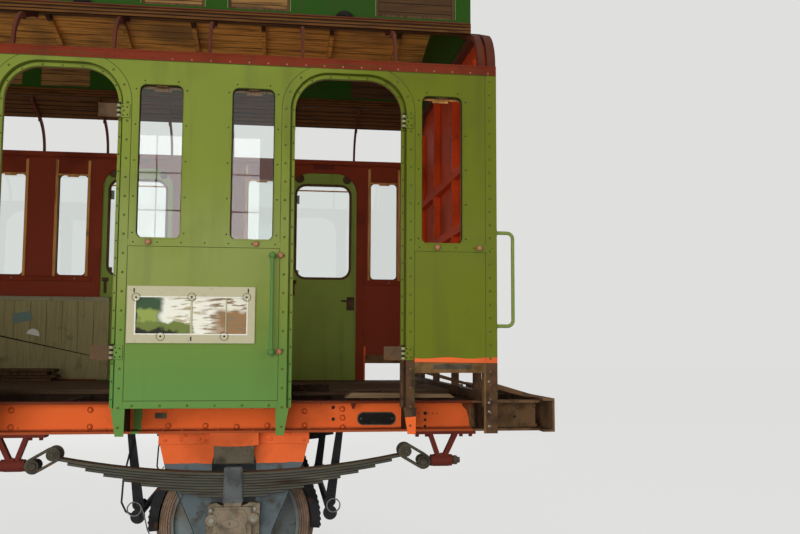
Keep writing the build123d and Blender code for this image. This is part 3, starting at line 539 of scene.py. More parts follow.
def finishes():
    """Every finish of the coach, by name."""
    mixed = {
        "body": body_paint(),
        "solebar": solebar_paint(),
        "guard": guard_paint(),
        "orange": primer("orange_primer", bright_orange, rust, 0.3),
        "rusted": rusted("rusted_steel", (0.170, 0.096, 0.046)),
        "dark_steel": rusted("dark_steel", dark_rust),
        "bare": rusted("bare_steel", (0.180, 0.100, 0.040)),
        "box_iron": rusted("box_iron", (0.240, 0.190, 0.130)),
        "buckle": rusted("buckle_iron", (0.115, 0.122, 0.122)),
        "hinge": rusted("hinge_brown", (0.105, 0.062, 0.034), 0.8),
        "spring": spring_steel(),
        "shackle": rusted("shackle_iron", (0.080, 0.068, 0.048)),
        "wheel": wheel_paint(),
        "tyre": tyre_iron(),
        "axle": rusted("axle_steel", (0.100, 0.070, 0.045)),
        "brake_iron": rusted("brake_iron", (0.030, 0.029, 0.030)),
        "brake_black": plain("brake_black", (0.022, 0.022, 0.024), 0.5),
        "web_rust_and_shade": plain("web_rust_and_shade", (0.260, 0.060, 0.020), 0.7),
        "rivet": rivet_paint(),
        "seam": plain("seam_dirt_and_shadow", (0.050, 0.066, 0.016), 0.7),
        "pale_rivet": plain("pale_rivet", (0.330, 0.180, 0.110), 0.45),
        "wire": plain("grey_wire", (0.180, 0.185, 0.175), 0.45, 0.4),
        "stop": rusted("stop_block", (0.110, 0.092, 0.062)),
        "red": primer("red_primer", (0.120, 0.022, 0.014), rust),
        "cantrail": weather(primer("cantrail_red", (0.175, 0.027, 0.010), (0.060, 0.020, 0.010)), 0.6),
        "rib": primer("rib_red", (0.110, 0.030, 0.016), rust),
        "inner": inner_paint(),
        "oxblood": primer("oxblood", oxblood, dark_rust, patchy=0.3),
        "sill": wood("sill_brown", (0.130, 0.052, 0.014), (0.040, 0.016, 0.006), "X", "Z", 0.022),
        "roof": roof_boards(),
        "shutter": shutter_wood(),
        "floor": wood("floor_wood", (0.130, 0.082, 0.045), (0.055, 0.033, 0.019)),
        "plank": wood("loose_plank", (0.150, 0.095, 0.050), (0.080, 0.050, 0.028)),
        "dado": wood("dado_wood", (0.330, 0.285, 0.130), (0.260, 0.220, 0.100), "Z"),
        "ledge": wood("dado_ledge", (0.300, 0.270, 0.160), (0.230, 0.200, 0.115)),
        "pine": wood("pine_strip", pine, (0.270, 0.105, 0.025), "Z"),
        "timber": wood("window_timber", timber, (0.050, 0.026, 0.013), "Z"),
        "clerestory": weather(Finish("clerestory_green", (0.020, 0.072, 0.006), 0.5), 1.8),
        # Painted highlight on the folded edges of the clerestory lights
        "clerestory_edge_highlight": plain("clerestory_edge_highlight", (0.130, 0.205, 0.055), 0.45),
        "vent": plain("vent_black", soot, 0.5),
        "cream": plain("sign_cream", cream, 0.35, worn=shade(cream, 0.72)),
        "rim": plain("sign_rim", (0.78, 0.76, 0.66), 0.3, worn=cream),
        "painted_reflection": sign_painted_reflection(),
        "handle": plain("handle_green", (0.095, 0.200, 0.052), 0.30, worn=(0.06, 0.12, 0.035)),
        # Painted light: a lighter, yellower copy of the handle green, on the corner handrails
        "rail_green": plain("rail_green", (0.190, 0.250, 0.058), 0.35, worn=(0.12, 0.17, 0.035)),
        # Painted light: brightened for the light that falls on the far doors
        "door": weather(Finish("door_green", (0.235, 0.310, 0.055), 0.45)),
        # Pale knuckles: wear and a painted highlight
        "knuckle": plain("worn_and_highlit_knuckle", (0.300, 0.310, 0.150), 0.5),
        # Near black for screws and nails, and for painted shade in holes, slots and gaps
        "screw_and_shade": plain("dark_screw_and_shade", (0.018, 0.018, 0.014), 0.5),
        # Near black for the window gaskets, and for a painted shadow on the dado
        "gasket_and_shadow": plain("gasket_and_shadow", (0.012, 0.012, 0.011), 0.6),
        "copper": plain("copper_knob", (0.400, 0.180, 0.095), 0.22, 0.45, (0.20, 0.08, 0.045)),
        "bolt": plain("worn_bolt", (0.300, 0.280, 0.230), 0.40, 0.5),
        "scrap": plain("pale_scrap", (0.160, 0.235, 0.200), 0.6, worn=(0.10, 0.15, 0.13)),
    }
    return {"glass": clear_glass(), **{name: finish.done() for name, finish in mixed.items()}}


# Bmesh helpers. Each makes one closed shell, or adds it to the piece being made.

def join(target, part, place=as_shaped):
    """Adds a finished shell to the piece being made, and frees it."""
    mesh = pattern(part)
    stamp(target, mesh, [place])
    bpy.data.meshes.remove(mesh)


def moved_verts(made):
    return [g for g in made if isinstance(g, bmesh.types.BMVert)]


def thicken(part, step):
    """Gives a flat shell its thickness."""
    made = bmesh.ops.extrude_face_region(part, geom=part.faces[:])["geom"]
    bmesh.ops.translate(part, vec=step, verts=moved_verts(made))
    bmesh.ops.recalc_face_normals(part, faces=part.faces)


def face_near_side(part):
    """Turns a shell that was made facing up."""
    bmesh.ops.rotate(part, cent=(0, 0, 0), matrix=Matrix.Rotation(radians(90), 3, "X"), verts=part.verts)


def add_box(target, x, y, z, edge=0.0015, segments=1):
    """A box between two values of x, of y and of z, with its edges taken off."""
    part = bmesh.new()
    bmesh.ops.create_cube(part, size=1.0)
    size = Vector((abs(x[1] - x[0]), abs(y[1] - y[0]), abs(z[1] - z[0])))
    bmesh.ops.scale(part, vec=size, verts=part.verts)
    bmesh.ops.translate(part, vec=Vector((x[0] + x[1], y[0] + y[1], z[0] + z[1])) / 2, verts=part.verts)
    if edge:
        bmesh.ops.bevel(part, geom=part.edges, offset=min(edge, min(size) * 0.3), segments=segments,
                        profile=0.5, affect="EDGES", material=-1)
    join(target, part)


def add_border(target, outer_x, outer_z, inner_x, inner_z, y, edge):
    """Four flat bars, which fill the space between two rectangles."""
    for x, z in ((outer_x, (inner_z[1], outer_z[1])), (outer_x, (outer_z[0], inner_z[0])),
                 ((outer_x[0], inner_x[0]), inner_z), ((inner_x[1], outer_x[1]), inner_z)):
        add_box(target, x, y, z, edge)


def add_slab(target, outline, y_back, y_front):
    """A plate of any outline, given as (x, z) corners in order, between two values of y."""
    part = bmesh.new()
    part.faces.new([part.verts.new((x, y_back, z)) for x, z in outline])
    thicken(part, (0, y_front - y_back, 0))
    join(target, part)


def add_rod(target, start, end, radius, end_radius=None, segments=16, edge=0.0):
    """A round bar between two points, tapered if it has another radius at its end."""
    start, end = Vector(start), Vector(end)
    part = bmesh.new()
    bmesh.ops.create_cone(part, cap_ends=True, segments=segments, radius1=radius,
                          radius2=radius if end_radius is None else end_radius, depth=(end - start).length)
    if edge:
        rims = [e for e in part.edges if abs(e.verts[0].co.z - e.verts[1].co.z) < 1e-6]
        bmesh.ops.bevel(part, geom=rims, offset=edge, segments=1, profile=0.5, affect="EDGES", material=-1)
    swing = Vector((0, 0, 1)).rotation_difference(end - start).to_matrix().to_4x4()
    join(target, part, Matrix.Translation((start + end) / 2) @ swing)


def add_wire(target, points, radius):
    """A bent rod through a few points."""
    for start, end in zip(points, points[1:]):
        add_rod(target, start, end, radius, segments=10)
        add_ball(target, end, radius)


def add_ball(target, centre, radius, flat=1.0, axis="Y"):
    """A ball, or one that is flattened along an axis."""
    part = bmesh.new()
    bmesh.ops.create_uvsphere(part, u_segments=14, v_segments=8, radius=radius)
    squeeze = Vector([flat if name == axis else 1.0 for name in "XYZ"])
    bmesh.ops.scale(part, vec=squeeze, verts=part.verts)
    bmesh.ops.translate(part, vec=Vector(centre), verts=part.verts)
    join(target, part)


def add_washer(target, x, z, outer, inner, y_back, y_front, segments=24):
    """A flat ring that faces the near side, with its front edges taken off."""
    chamfer = min(0.0015, (outer - inner) * 0.3)
    step = chamfer if y_front > y_back else -chamfer
    section = ((inner, y_back), (outer, y_back), (outer, y_front - step), (outer - chamfer, y_front),
               (inner + chamfer, y_front), (inner, y_front - step))
    part = bmesh.new()
    ring = [part.verts.new((x + r, y, z)) for r, y in section]
    edges = [part.edges.new(pair) for pair in zip(ring, ring[1:] + ring[:1])]
    bmesh.ops.spin(part, geom=[*ring, *edges], cent=(x, 0, z), axis=(0, 1, 0), angle=2 * pi, steps=segments,
                   use_merge=True)
    bmesh.ops.remove_doubles(part, verts=part.verts, dist=1e-6)
    bmesh.ops.recalc_face_normals(part, faces=part.faces)
    join(target, part)


def add_bolt(target, x, z, y, radius, height):
    """A washer and a six-sided nut with a bolt's end, on a face towards the near side."""
    add_rod(target, (x, y, z), (x, y - height * 0.25, z), radius * 1.35, segments=18, edge=0.0008)
    add_rod(target, (x, y - height * 0.2, z), (x, y - height * 0.8, z), radius, segments=6, edge=0.0008)
    add_rod(target, (x, y - height * 0.7, z), (x, y - height, z), radius * 0.5, segments=10, edge=0.0005)


def pattern(part):
    """A finished shell, kept as a mesh that can be put down many times."""
    mesh = bpy.data.meshes.new("pattern")
    part.to_mesh(mesh)
    part.free()
    return mesh


def stamp(target, mesh, places):
    """Puts a pattern down at each place, turned the right way out where the place mirrors it."""
    for place in places:
        copy = mesh.copy()
        copy.transform(place)
        if place.determinant() < 0:
            copy.flip_normals()
        target.from_mesh(copy)
        bpy.data.meshes.remove(copy)


def run(*step):
    return Vector(step)


def turn(centre, axis, degrees, steps=8):
    return (Vector(centre), Vector(axis), radians(degrees), steps)


def sweep(section, moves, closed=False):
    """Carries a closed section along runs and turns, and gives back the shell."""
    part = bmesh.new()
    ring = [part.verts.new(point) for point in section]
    front = [part.edges.new(pair) for pair in zip(ring, ring[1:] + ring[:1])]
    back = list(front)
    for move in moves:
        if isinstance(move, Vector):
            made = bmesh.ops.extrude_edge_only(part, edges=front)["geom"]
            moved = set(moved_verts(made))
            bmesh.ops.translate(part, vec=move, verts=list(moved))
            front = [g for g in made if isinstance(g, bmesh.types.BMEdge) and set(g.verts) <= moved]
        else:
            centre, axis, angle, steps = move
            made = bmesh.ops.spin(part, geom=front, cent=centre, axis=axis, angle=angle, steps=steps)
            front = [g for g in made["geom_last"] if isinstance(g, bmesh.types.BMEdge)]
    if closed:
        bmesh.ops.remove_doubles(part, verts=part.verts, dist=1e-5)
    else:
        bmesh.ops.edgeloop_fill(part, edges=front)
        bmesh.ops.edgeloop_fill(part, edges=back)
    bmesh.ops.recalc_face_normals(part, faces=part.faces)
    return part


def around_arch(section, foot):
    """Carries a section, as (outward from the opening's edge, distance from the middle), round a doorway."""
    start = [Vector((-door_half - out, -deep, foot)) for out, deep in section]
    return sweep(start, [run(0, 0, arch_spring - foot), turn((-arc_x, 0, arch_spring), (0, 1, 0), 90, 12),
                         run(2 * arc_x, 0, 0), turn((arc_x, 0, arch_spring), (0, 1, 0), 90, 12),
                         run(0, 0, foot - arch_spring)])


def rounded_ring(width, height, radius, section, steps=5):
    """A moulding around a rounded rectangle. The section's points are (outward from its edge, y)."""
    flat_x, flat_z = width / 2 - radius, height / 2 - radius
    start = [Vector((width / 2 + out, y, -flat_z)) for out, y in section]
    moves = [run(0, 0, 2 * flat_z), turn((flat_x, 0, flat_z), (0, 1, 0), -90, steps),
             run(-2 * flat_x, 0, 0), turn((-flat_x, 0, flat_z), (0, 1, 0), -90, steps),
             run(0, 0, -2 * flat_z), turn((-flat_x, 0, -flat_z), (0, 1, 0), -90, steps),
             run(2 * flat_x, 0, 0), turn((flat_x, 0, -flat_z), (0, 1, 0), -90, steps)]
    return sweep(start, moves, closed=True)


def rounded_plate(width, height, radius, y_back, y_front, steps=5):
    """A flat plate with rounded corners, between two values of y."""
    part = bmesh.new()
    bmesh.ops.create_grid(part, x_segments=1, y_segments=1, size=0.5)
    bmesh.ops.scale(part, vec=(width, height, 1), verts=part.verts)
    bmesh.ops.bevel(part, geom=part.verts, offset=radius, segments=steps, profile=0.5,
                    affect="VERTICES", material=-1)
    face_near_side(part)
    bmesh.ops.translate(part, vec=(0, y_back, 0), verts=part.verts)
    thicken(part, (0, y_front - y_back, 0))
    return part


def dome(radius, height, segments=8):
    """A rivet's head: a low dome that stands out from the near side."""
    part = bmesh.new()
    bmesh.ops.create_cone(part, cap_ends=True, segments=segments, radius1=radius, radius2=radius * 0.82,
                          depth=height * 0.55)
    bmesh.ops.translate(part, vec=(0, 0, height * 0.275), verts=part.verts)
    top = max(part.faces, key=lambda f: f.calc_center_median().z)
    bmesh.ops.inset_individual(part, faces=[top], thickness=radius * 0.42, depth=height * 0.45)
    face_near_side(part)
    return pattern(part)


def spaced(start, stop, step):
    """Evenly spaced values from start to stop, about a step apart."""
    count = max(1, round((stop - start) / step))
    return [start + (stop - start) * i / count for i in range(count + 1)]


def at(x, y, z):
    return Matrix.Translation((x, y, z))


def placed(sides, points, turned=as_shaped):
    """A place at each point, on every side that is given."""
    return [side @ at(*point) @ turned for side in sides for point in points]


def added(name, data):
    """A new object in the scene."""
    thing = bpy.data.objects.new(name, data)
    bpy.context.scene.collection.objects.link(thing)
    return thing


def piece(name, made, material, body="coach", sharp=35):
    """Makes the finished shells one object, which rides on its body."""
    mesh = bpy.data.meshes.new(name)
    made.to_mesh(mesh)
    made.free()
    mesh.materials.append(material)
    mesh.shade_smooth()
    mesh.set_sharp_from_angle(angle=radians(sharp))
    thing = added(name, mesh)
    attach(thing, body)
    return thing


def dots(name, mesh, places, material, body="coach"):
    """A piece made of one small fitting, put down many times."""
    made = bmesh.new()
    stamp(made, mesh, places)
    bpy.data.meshes.remove(mesh)
    return piece(name, made, material, body)


def spread(name, one, places, material, body="coach"):
    """A piece made of one worked group of shells, put down at each place."""
    return dots(name, pattern(one), places, material, body)


# Sides of the body

def door_surrounds(paint):
    """Pressed surrounds of the doorways: a flat strip, a deep groove and a recessed lip."""
    groove_floor = face - 0.045
    chamfer = 0.0015
    # Columns: outward from the opening's edge, and distance from the coach's middle
    section = [(surround_reach, inside), (surround_reach, strip_face - chamfer),
               (surround_reach - chamfer, strip_face), (0.028 + chamfer, strip_face),
               (0.028, strip_face - chamfer), (0.028, groove_floor), (0.018, groove_floor),
               (0.018, lip_face - chamfer), (0.018 - chamfer, lip_face), (chamfer, lip_face),
               (0.0, lip_face - chamfer), (0.0, inside)]
    arch = around_arch(section, panel_foot)
    cut = bmesh.ops.bisect_plane(arch, geom=[*arch.verts, *arch.edges, *arch.faces], dist=1e-5,
                                 plane_co=(0, 0, cantrail_foot), plane_no=(0, 0, 1),
                                 clear_outer=True)["geom_cut"]
    bmesh.ops.holes_fill(arch, edges=[g for g in cut if isinstance(g, bmesh.types.BMEdge)])

    one = bmesh.new()
    join(one, arch)
    reach = head_radius + surround_reach
    for s in (-1, 1):
        # The flat sheet between the arch and the corner under the cantrail
        corner = bmesh.new()
        first = corner.verts.new((s * (arc_x + reach), -face, arch_spring))
        spun = bmesh.ops.spin(corner, geom=[first], cent=(s * arc_x, -face, arch_spring), axis=(0, 1, 0),
                              angle=-s * asin((cantrail_foot - arch_spring) / reach), steps=9)
        tip = corner.verts.new((s * (arc_x + reach), -face, cantrail_foot))
        last = next(g for g in spun["geom_last"] if isinstance(g, bmesh.types.BMVert))
        corner.edges.new((last, tip))
        corner.edges.new((tip, first))
        bmesh.ops.edgeloop_fill(corner, edges=corner.edges)
        thicken(corner, (0, face - inside, 0))
        join(one, corner)
        # The strap that hangs below the jamb, and the flange behind it, which narrows to the foot
        add_slab(one, [(s * 0.332, panel_foot - 0.0005), (s * 0.408, panel_foot - 0.0005),
                       (s * 0.404, strap_foot), (s * 0.358, strap_foot)], -face + 0.008, -face - 0.001)
        flange = bmesh.new()
        depth = 0.055
        corners = [(s * 0.362, -face, panel_foot - 0.001), (s * 0.362, -face + depth, panel_foot - 0.001),
                   (s * 0.362, -face + depth * 0.12, strap_foot), (s * 0.362, -face, strap_foot)]
        flange.faces.new([flange.verts.new(c) for c in corners])
        thicken(flange, (s * 0.006, 0, 0))
        join(one, flange)
    mesh = pattern(one)
    for name, node, side in (("near_surrounds", "near_door_frames", as_shaped),
                             ("far_surrounds", "far_door_frames", mirror_y)):
        made = bmesh.new()
        stamp(made, mesh, [side @ at(x, 0, 0) for x in doors])
        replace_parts(piece(name, made, paint), node)
    bpy.data.meshes.remove(mesh)


def arch_points(radius, degrees):
    return [(s * (arc_x + radius * cos(radians(a))), arch_spring + radius * sin(radians(a)))
            for s in (-1, 1) for a in degrees]


def surround_fixings(paint, screw_and_shade):
    """Rivets along the strips, and small screws along the lips."""
    strip, lip = 0.054, 0.009               # outward from the opening's edge
    rivets = [(s * (door_half + strip), z) for s in (-1, 1)
              for z in spaced(strap_foot + 0.05, arch_spring, 0.108)]
    rivets += arch_points(head_radius + strip, (24, 48))
    dots("strip_rivets", dome(0.0078, 0.0045),
         placed(near_and_far, [(x + dx, -strip_face, z) for x in doors for dx, z in rivets]),
         paint)
    screws = [(s * (door_half + lip), z) for s in (-1, 1)
              for z in spaced(panel_foot + 0.05, arch_spring, 0.102)]
    screws += arch_points(head_radius + lip, (30, 60))
    screws += [(dx, door_head + lip) for dx in (-0.11, 0.0, 0.11)]
    dots("lip_screws", dome(0.0048, 0.0016),
         placed(near_and_far, [(x + dx, -lip_face, z) for x in doors for dx, z in screws]),
         screw_and_shade)


def window_fittings(paint, gasket_and_shadow, timber_finish, screw_and_shade):
    """Beads, gaskets, inner timbers, tabs and screws of the side windows."""
    width, height = window_far - window_near, window_head - window_foot
    bead = rounded_ring(width, height, window_radius,
                        [(0.0, -face + 0.004), (0.0, -face - 0.002), (0.003, -face - 0.003),
                         (0.007, -face - 0.001), (0.007, -face + 0.004)])
    seal = rounded_ring(width, height, window_radius,
                        [(0.002, -face + 0.030), (-0.004, -face + 0.030), (-0.005, -face + 0.024),
                         (-0.001, -face + 0.018), (0.002, -face + 0.018)])
    places = placed(near_and_far, [(x, 0, window_z) for x in window_centres])
    spread("window_beads", bead, places, paint)
    spread("window_gaskets", seal, places, gasket_and_shadow)
    tab = bmesh.new()
    add_box(tab, (-0.0325, 0.0325), (-face + 0.012, -face + 0.024), (height / 2 - 0.012, height / 2 - 0.001),
            0.002)
    spread("window_tabs", tab, places, timber_finish)
    offsets = [(s * 0.095, height / 2 + 0.020) for s in (-1, 1)]
    offsets += [(s * (width / 2 + 0.020), z) for s in (-1, 1)
                for z in spaced(-height / 2 + 0.03, height / 2 - 0.03, 0.2)]
    dots("window_screws", dome(0.0050, 0.0016),
         [place @ at(dx, -face, dz) for place in places for dx, dz in offsets], screw_and_shade)


def pier_spans():
    """Start and end of each side pier between the surrounds."""
    edge = door_half + surround_reach
    starts = [-half_body] + [x + edge for x in doors]
    ends = [x - edge for x in doors] + [half_body]
    return list(zip(starts, ends))


def wall_trim(paint, rivet, screw_and_shade, copper):
    """Belt strips, corner straps, foot flanges and knobs of the side walls."""
    trim = bmesh.new()
    proud = 0.002
    for i, (start, end) in enumerate(pier_spans()):
        left = start + strap_width if i == 0 else start
        right = end - strap_width if i == len(doors) else end
        # A sheet's lower edge stands proud at its foot, and runs out to nothing above
        lap = [(left, -face, belt), (left, -face - proud, belt), (left, -face - proud, belt + 0.004),
               (left, -face, belt + 0.05)]
        join(trim, sweep(lap, [run(right - left, 0, 0)]))
        if i < len(doors):
            foot = [(left, -face, panel_foot), (left, -face - proud, panel_foot + 0.002),
                    (left, -face - proud, panel_foot + 0.040), (left, -face, panel_foot + 0.042)]
            join(trim, sweep(foot, [run(right - left, 0, 0)]))
    for s in (-1, 1):
        add_box(trim, (s * (half_body - strap_width), s * half_body), (-face - proud, -face + 0.004),
                (strap_foot, cantrail_foot - 0.001))
    spread("wall_trim", trim, near_and_far, paint)

    screw_z = belt + 0.022
    belt_screws = []
    knobs = [half_body - 0.109, -half_body + 0.109]
    for i, (start, end) in enumerate(pier_spans()):
        belt_screws += spaced(start + 0.03, end - 0.03, 0.125)
        if i > 0:
            knobs.append(start + 0.114 if i < len(doors) else start + 0.136)
        if i < len(doors):
            knobs.append(end - 0.139 if i > 0 else end - 0.136)
    dots("belt_screws", dome(0.0050, 0.0016),
         placed(near_and_far, [(x, -face - 0.0008, screw_z) for x in belt_screws]), screw_and_shade)
    knob = bmesh.new()
    add_rod(knob, (0, 0, 0), (0, -0.006, 0), 0.016, 0.012)
    add_ball(knob, (0, -0.014, 0), 0.0175, 0.75)
    spread("belt_knobs", knob, placed(near_and_far, [(x, -face - 0.001, screw_z) for x in knobs]),
           copper)

    rivets = [(s * (half_body - 0.043), -face - proud, z) for s in (-1, 1)
              for z in spaced(strap_foot + 0.04, cantrail_foot - 0.04, 0.081)]
    rivets += [(x, -face - proud, panel_foot + 0.016) for start, end in pier_spans()
               for x in spaced(start + 0.05, end - 0.05, 0.14) if x < doors[-1]]
    dots("sheet_rivets", dome(0.0078, 0.0045), placed(near_and_far, rivets), rivet)


def seams(dark_band):
    """Thin dark lines where the sheets, the surrounds and the corner straps meet: dirt in the joints, and
    painted shadow beside the proud edges.
    """
    width = 0.003
    buried = face - 0.001
    arch = pattern(around_arch([(surround_reach + width, buried), (surround_reach + width, face + 0.0005),
                                (surround_reach, face + 0.0005), (surround_reach, buried)], panel_foot))
    lines = bmesh.new()
    stamp(lines, arch, [at(x, 0, 0) for x in doors])
    bpy.data.meshes.remove(arch)
    for i, (start, end) in enumerate(pier_spans()):
        add_box(lines, (start, end), (-buried, -face - 0.0006), (belt - width, belt), 0)
        if i < len(doors):
            add_box(lines, (start, end), (-buried, -face - 0.0004), (panel_foot + 0.042, panel_foot + 0.045),
                    0)
    for s in (-1, 1):
        x = s * (half_body - strap_width)
        add_box(lines, (x - s * 0.0025, x), (-buried, -face - 0.0004), (cut_panel_foot, cantrail_foot), 0)
    add_box(lines, (-half_body, half_body), (-buried, -face - 0.0034),
            (cantrail_foot - 0.0025, cantrail_foot + 0.0005), 0)
    spread("sheet_seams", lines, near_and_far, dark_band)


def bare_corner(orange_coat, slot_coat, bolt):
    """What shows where the last panel is cut away: a painted edge, a slot in the rail and bolts."""
    band = bmesh.new()
    left, right = 3.697, 4.1945
    outline = [(x, cut_panel_foot + 0.012 + 0.004 * sin(23 * x)) for x in spaced(left, right, 0.018)]
    outline += [(x, cut_panel_foot - 0.011 - 0.008 * sin(40 * x) * sin(97 * x) - 0.003 * sin(310 * x))
                for x in spaced(right, left, 0.018)]
    add_slab(band, outline, -face + 0.002, -face - 0.0028)
    spread("cut_edge", band, near_and_far, orange_coat)

    slot = bmesh.new()
    left, right, steps = 3.81, 4.04, 12
    outline = [(left + (right - left) * i / steps, rail + 1.501 + 0.004 * sin(5 * i))
               for i in range(steps + 1)]
    outline += [(right - (right - left) * i / steps, rail + 1.473 + 0.005 * sin(3 * i + 1))
                for i in range(steps + 1)]
    add_slab(slot, outline, -face + 0.010, -face - 0.0008)
    spread("rail_slot", slot, near_and_far, slot_coat)

    bolts = [(4.142, -face - 0.002, rail + z) for z in (1.139, 1.225, 1.277, 1.400)]
    dots("post_bolts", dome(0.008, 0.004), placed(near_and_far, bolts), bolt)


def cantrail_trim(red, pale):
    """A folded lip along the cantrail's top and the rivets below it."""
    lip = bmesh.new()
    add_box(lip, (-half_body, half_body), (-face - 0.003, -face + 0.02),
            (cantrail_head - 0.012, cantrail_head), 0.002)
    spread("cantrail_lips", lip, near_and_far, red)
    rivets = spaced(-half_body + 0.05, half_body - 0.05, 0.11)
    worn_from = 2.2
    for name, finish, low, high in (("cantrail_rivets", red, -half_body, worn_from),
                                    ("worn_rivets", pale, worn_from, half_body)):
        points = [(x, -face, cantrail_foot + 0.013) for x in rivets if low < x < high]
        dots(name, dome(0.0056, 0.0036), placed(near_and_far, points), finish)


def grab_handles(green, rail_paint, copper):
    """Grab handles beside the doorways and bent handrails at the corners, in place of the plain bars."""
    made = bmesh.new()
    low, high = rail + 1.570, rail + 2.125
    reach = face + 0.052
    bar_out = 0.438                         # from a door's centre
    knob_places = []
    for side_sign, side in ((-1, as_shaped), (1, mirror_y)):
        for x in doors:
            bar_x = x + side_sign * bar_out
            one = bmesh.new()
            add_rod(one, (bar_x, -reach, low), (bar_x, -reach, high), 0.0105, segments=14)
            for z in (low, high):
                add_ball(one, (bar_x, -reach, z), 0.0185)
                add_rod(one, (bar_x, -reach, z), (bar_x, -face + 0.002, z), 0.009, segments=12)
                add_rod(one, (bar_x, -face - 0.006, z), (bar_x, -face + 0.002, z), 0.022, segments=16,
                        edge=0.002)
                knob_places.append(side @ at(bar_x - side_sign * 0.046, -face - 0.003, z + 0.003))
            join(made, one, side)
    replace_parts(piece("grab_handles", made, green), "handrails", "handrail_stubs")
    knob = bmesh.new()
    add_ball(knob, (0, -0.012, 0), 0.0180, 0.8)
    spread("handle_knobs", knob, knob_places, copper)

    bend, bar = 0.035, 0.011                # radii of a corner handrail's bends and of its bar
    out = 0.107 - bend
    tall = 0.584 - 2 * (bar + bend)
    base = Vector((half_body - 0.002, -face + 0.030, rail + 1.718 + bar))
    ring = [base + Vector((0, bar * cos(radians(a)), bar * sin(radians(a)))) for a in range(0, 360, 30)]
    rod = sweep(ring, [run(out, 0, 0), turn((base.x + out, base.y, base.z + bend), (0, 1, 0), -90, 6),
                       run(0, 0, tall), turn((base.x + out, base.y, base.z + bend + tall), (0, 1, 0), -90, 6),
                       run(-out, 0, 0)])
    for z in (base.z, base.z + tall + 2 * bend):
        add_rod(rod, (half_body - 0.002, base.y, z), (half_body + 0.006, base.y, z), 0.022, edge=0.002)
    spread("corner_handrails", rod, four_corners, rail_paint)


def sign(cream_finish, rim_finish, painted_reflection, screw_and_shade):
    """The sign beside the last doorway: a cream frame, a rim, a glossy face with a painted reflection, screws
    and dark slots.
    """
    low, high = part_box("sign_board")
    middle = (low.x + high.x) / 2
    front = low.y
    frame_bars = bmesh.new()
    add_border(frame_bars, (low.x, high.x), (low.z, high.z), view_x, view_z, (front + 0.004, -face), 0.0008)
    for x, half in ((middle, 0.005), (2.605, 0.003)):
        add_box(frame_bars, (x - half, x + half), (front + 0.001, front + 0.007), view_z, 0.001)
    bosses = [(view_x[0], view_z[1]), (middle, view_z[1] + 0.004), (view_x[1], view_z[1] + 0.006),
              (2.243, view_z[0] - 0.016), (2.597, view_z[0] - 0.014)]
    for x, z in bosses:
        add_rod(frame_bars, (x, front + 0.006, z), (x, front + 0.001, z), 0.0215, segments=20, edge=0.001)
    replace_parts(piece("sign_frame", frame_bars, cream_finish), "sign_board")

    rims = bmesh.new()
    rim = 0.007
    add_border(rims, (view_x[0] - rim, view_x[1] + rim), (view_z[0] - rim, view_z[1] + rim), view_x, view_z,
               (front + 0.001, front + 0.006), 0.001)
    piece("sign_rim", rims, rim_finish)

    marks = bmesh.new()
    for x, z in bosses:
        add_washer(marks, x, z, 0.0240, 0.0212, front + 0.004, front + 0.0004)
        add_rod(marks, (x, front + 0.002, z), (x, front + 0.0002, z), 0.0060, segments=10)
    # Dark slots: painted shade in the keyholes
    for x, z in ((2.092, high.z - 0.025), (2.728, high.z - 0.020), (middle, low.z + 0.026)):
        add_box(marks, (x - 0.004, x + 0.004), (front + 0.0030, front + 0.006), (z - 0.013, z + 0.011), 0.001)
    piece("sign_marks", marks, screw_and_shade)

    card = bmesh.new()
    tuck = 0.002                            # the card goes this far behind the rim
    add_box(card, (view_x[0] - tuck, view_x[1] + tuck), (front + 0.009, -face - 0.002),
            (view_z[0] - tuck, view_z[1] + tuck), 0)
    piece("sign_painted_reflection", card, painted_reflection)


def hinge_fittings(green, knuckle, screw_and_shade):
    """Painted plates, pale knuckles, painted shade between the knuckles, and screws of the hinges left on the
    near doorways.
    """
    plates, knuckles, gaps = bmesh.new(), bmesh.new(), bmesh.new()
    places = []
    pin_y = -face - 0.012
    for x in doors:
        jamb = x + door_half
        for z in hinge_heights:
            add_box(plates, (jamb + 0.014, jamb + 0.069), (-face - 0.0065, -face - 0.0090),
                    (z - 0.039, z + 0.039), 0.001)
            for low, high in ((-0.036, -0.022), (-0.008, 0.006), (0.020, 0.036)):
                add_rod(knuckles, (jamb + 0.008, pin_y, z + low), (jamb + 0.008, pin_y, z + high),
                        0.0115, segments=14, edge=0.001)
                # Dark rods behind the knuckles: painted shade in the gaps between them
                add_rod(gaps, (jamb + 0.010, pin_y, z + low + 0.014), (jamb + 0.010, pin_y, z + high + 0.012),
                        0.0108, segments=14, edge=0.001)
            places += [at(jamb + dx, -face - 0.009, z + dz) for dx, dz in
                       ((0.030, 0.026), (0.054, 0.022), (0.036, 0.0), (0.030, -0.026), (0.056, -0.024))]
    piece("hinge_plates", plates, green)
    piece("hinge_gaps", gaps, screw_and_shade)
    piece("hinge_knuckles", knuckles, knuckle)
    dots("hinge_screws", dome(0.0048, 0.0022), places, screw_and_shade)


# Inside

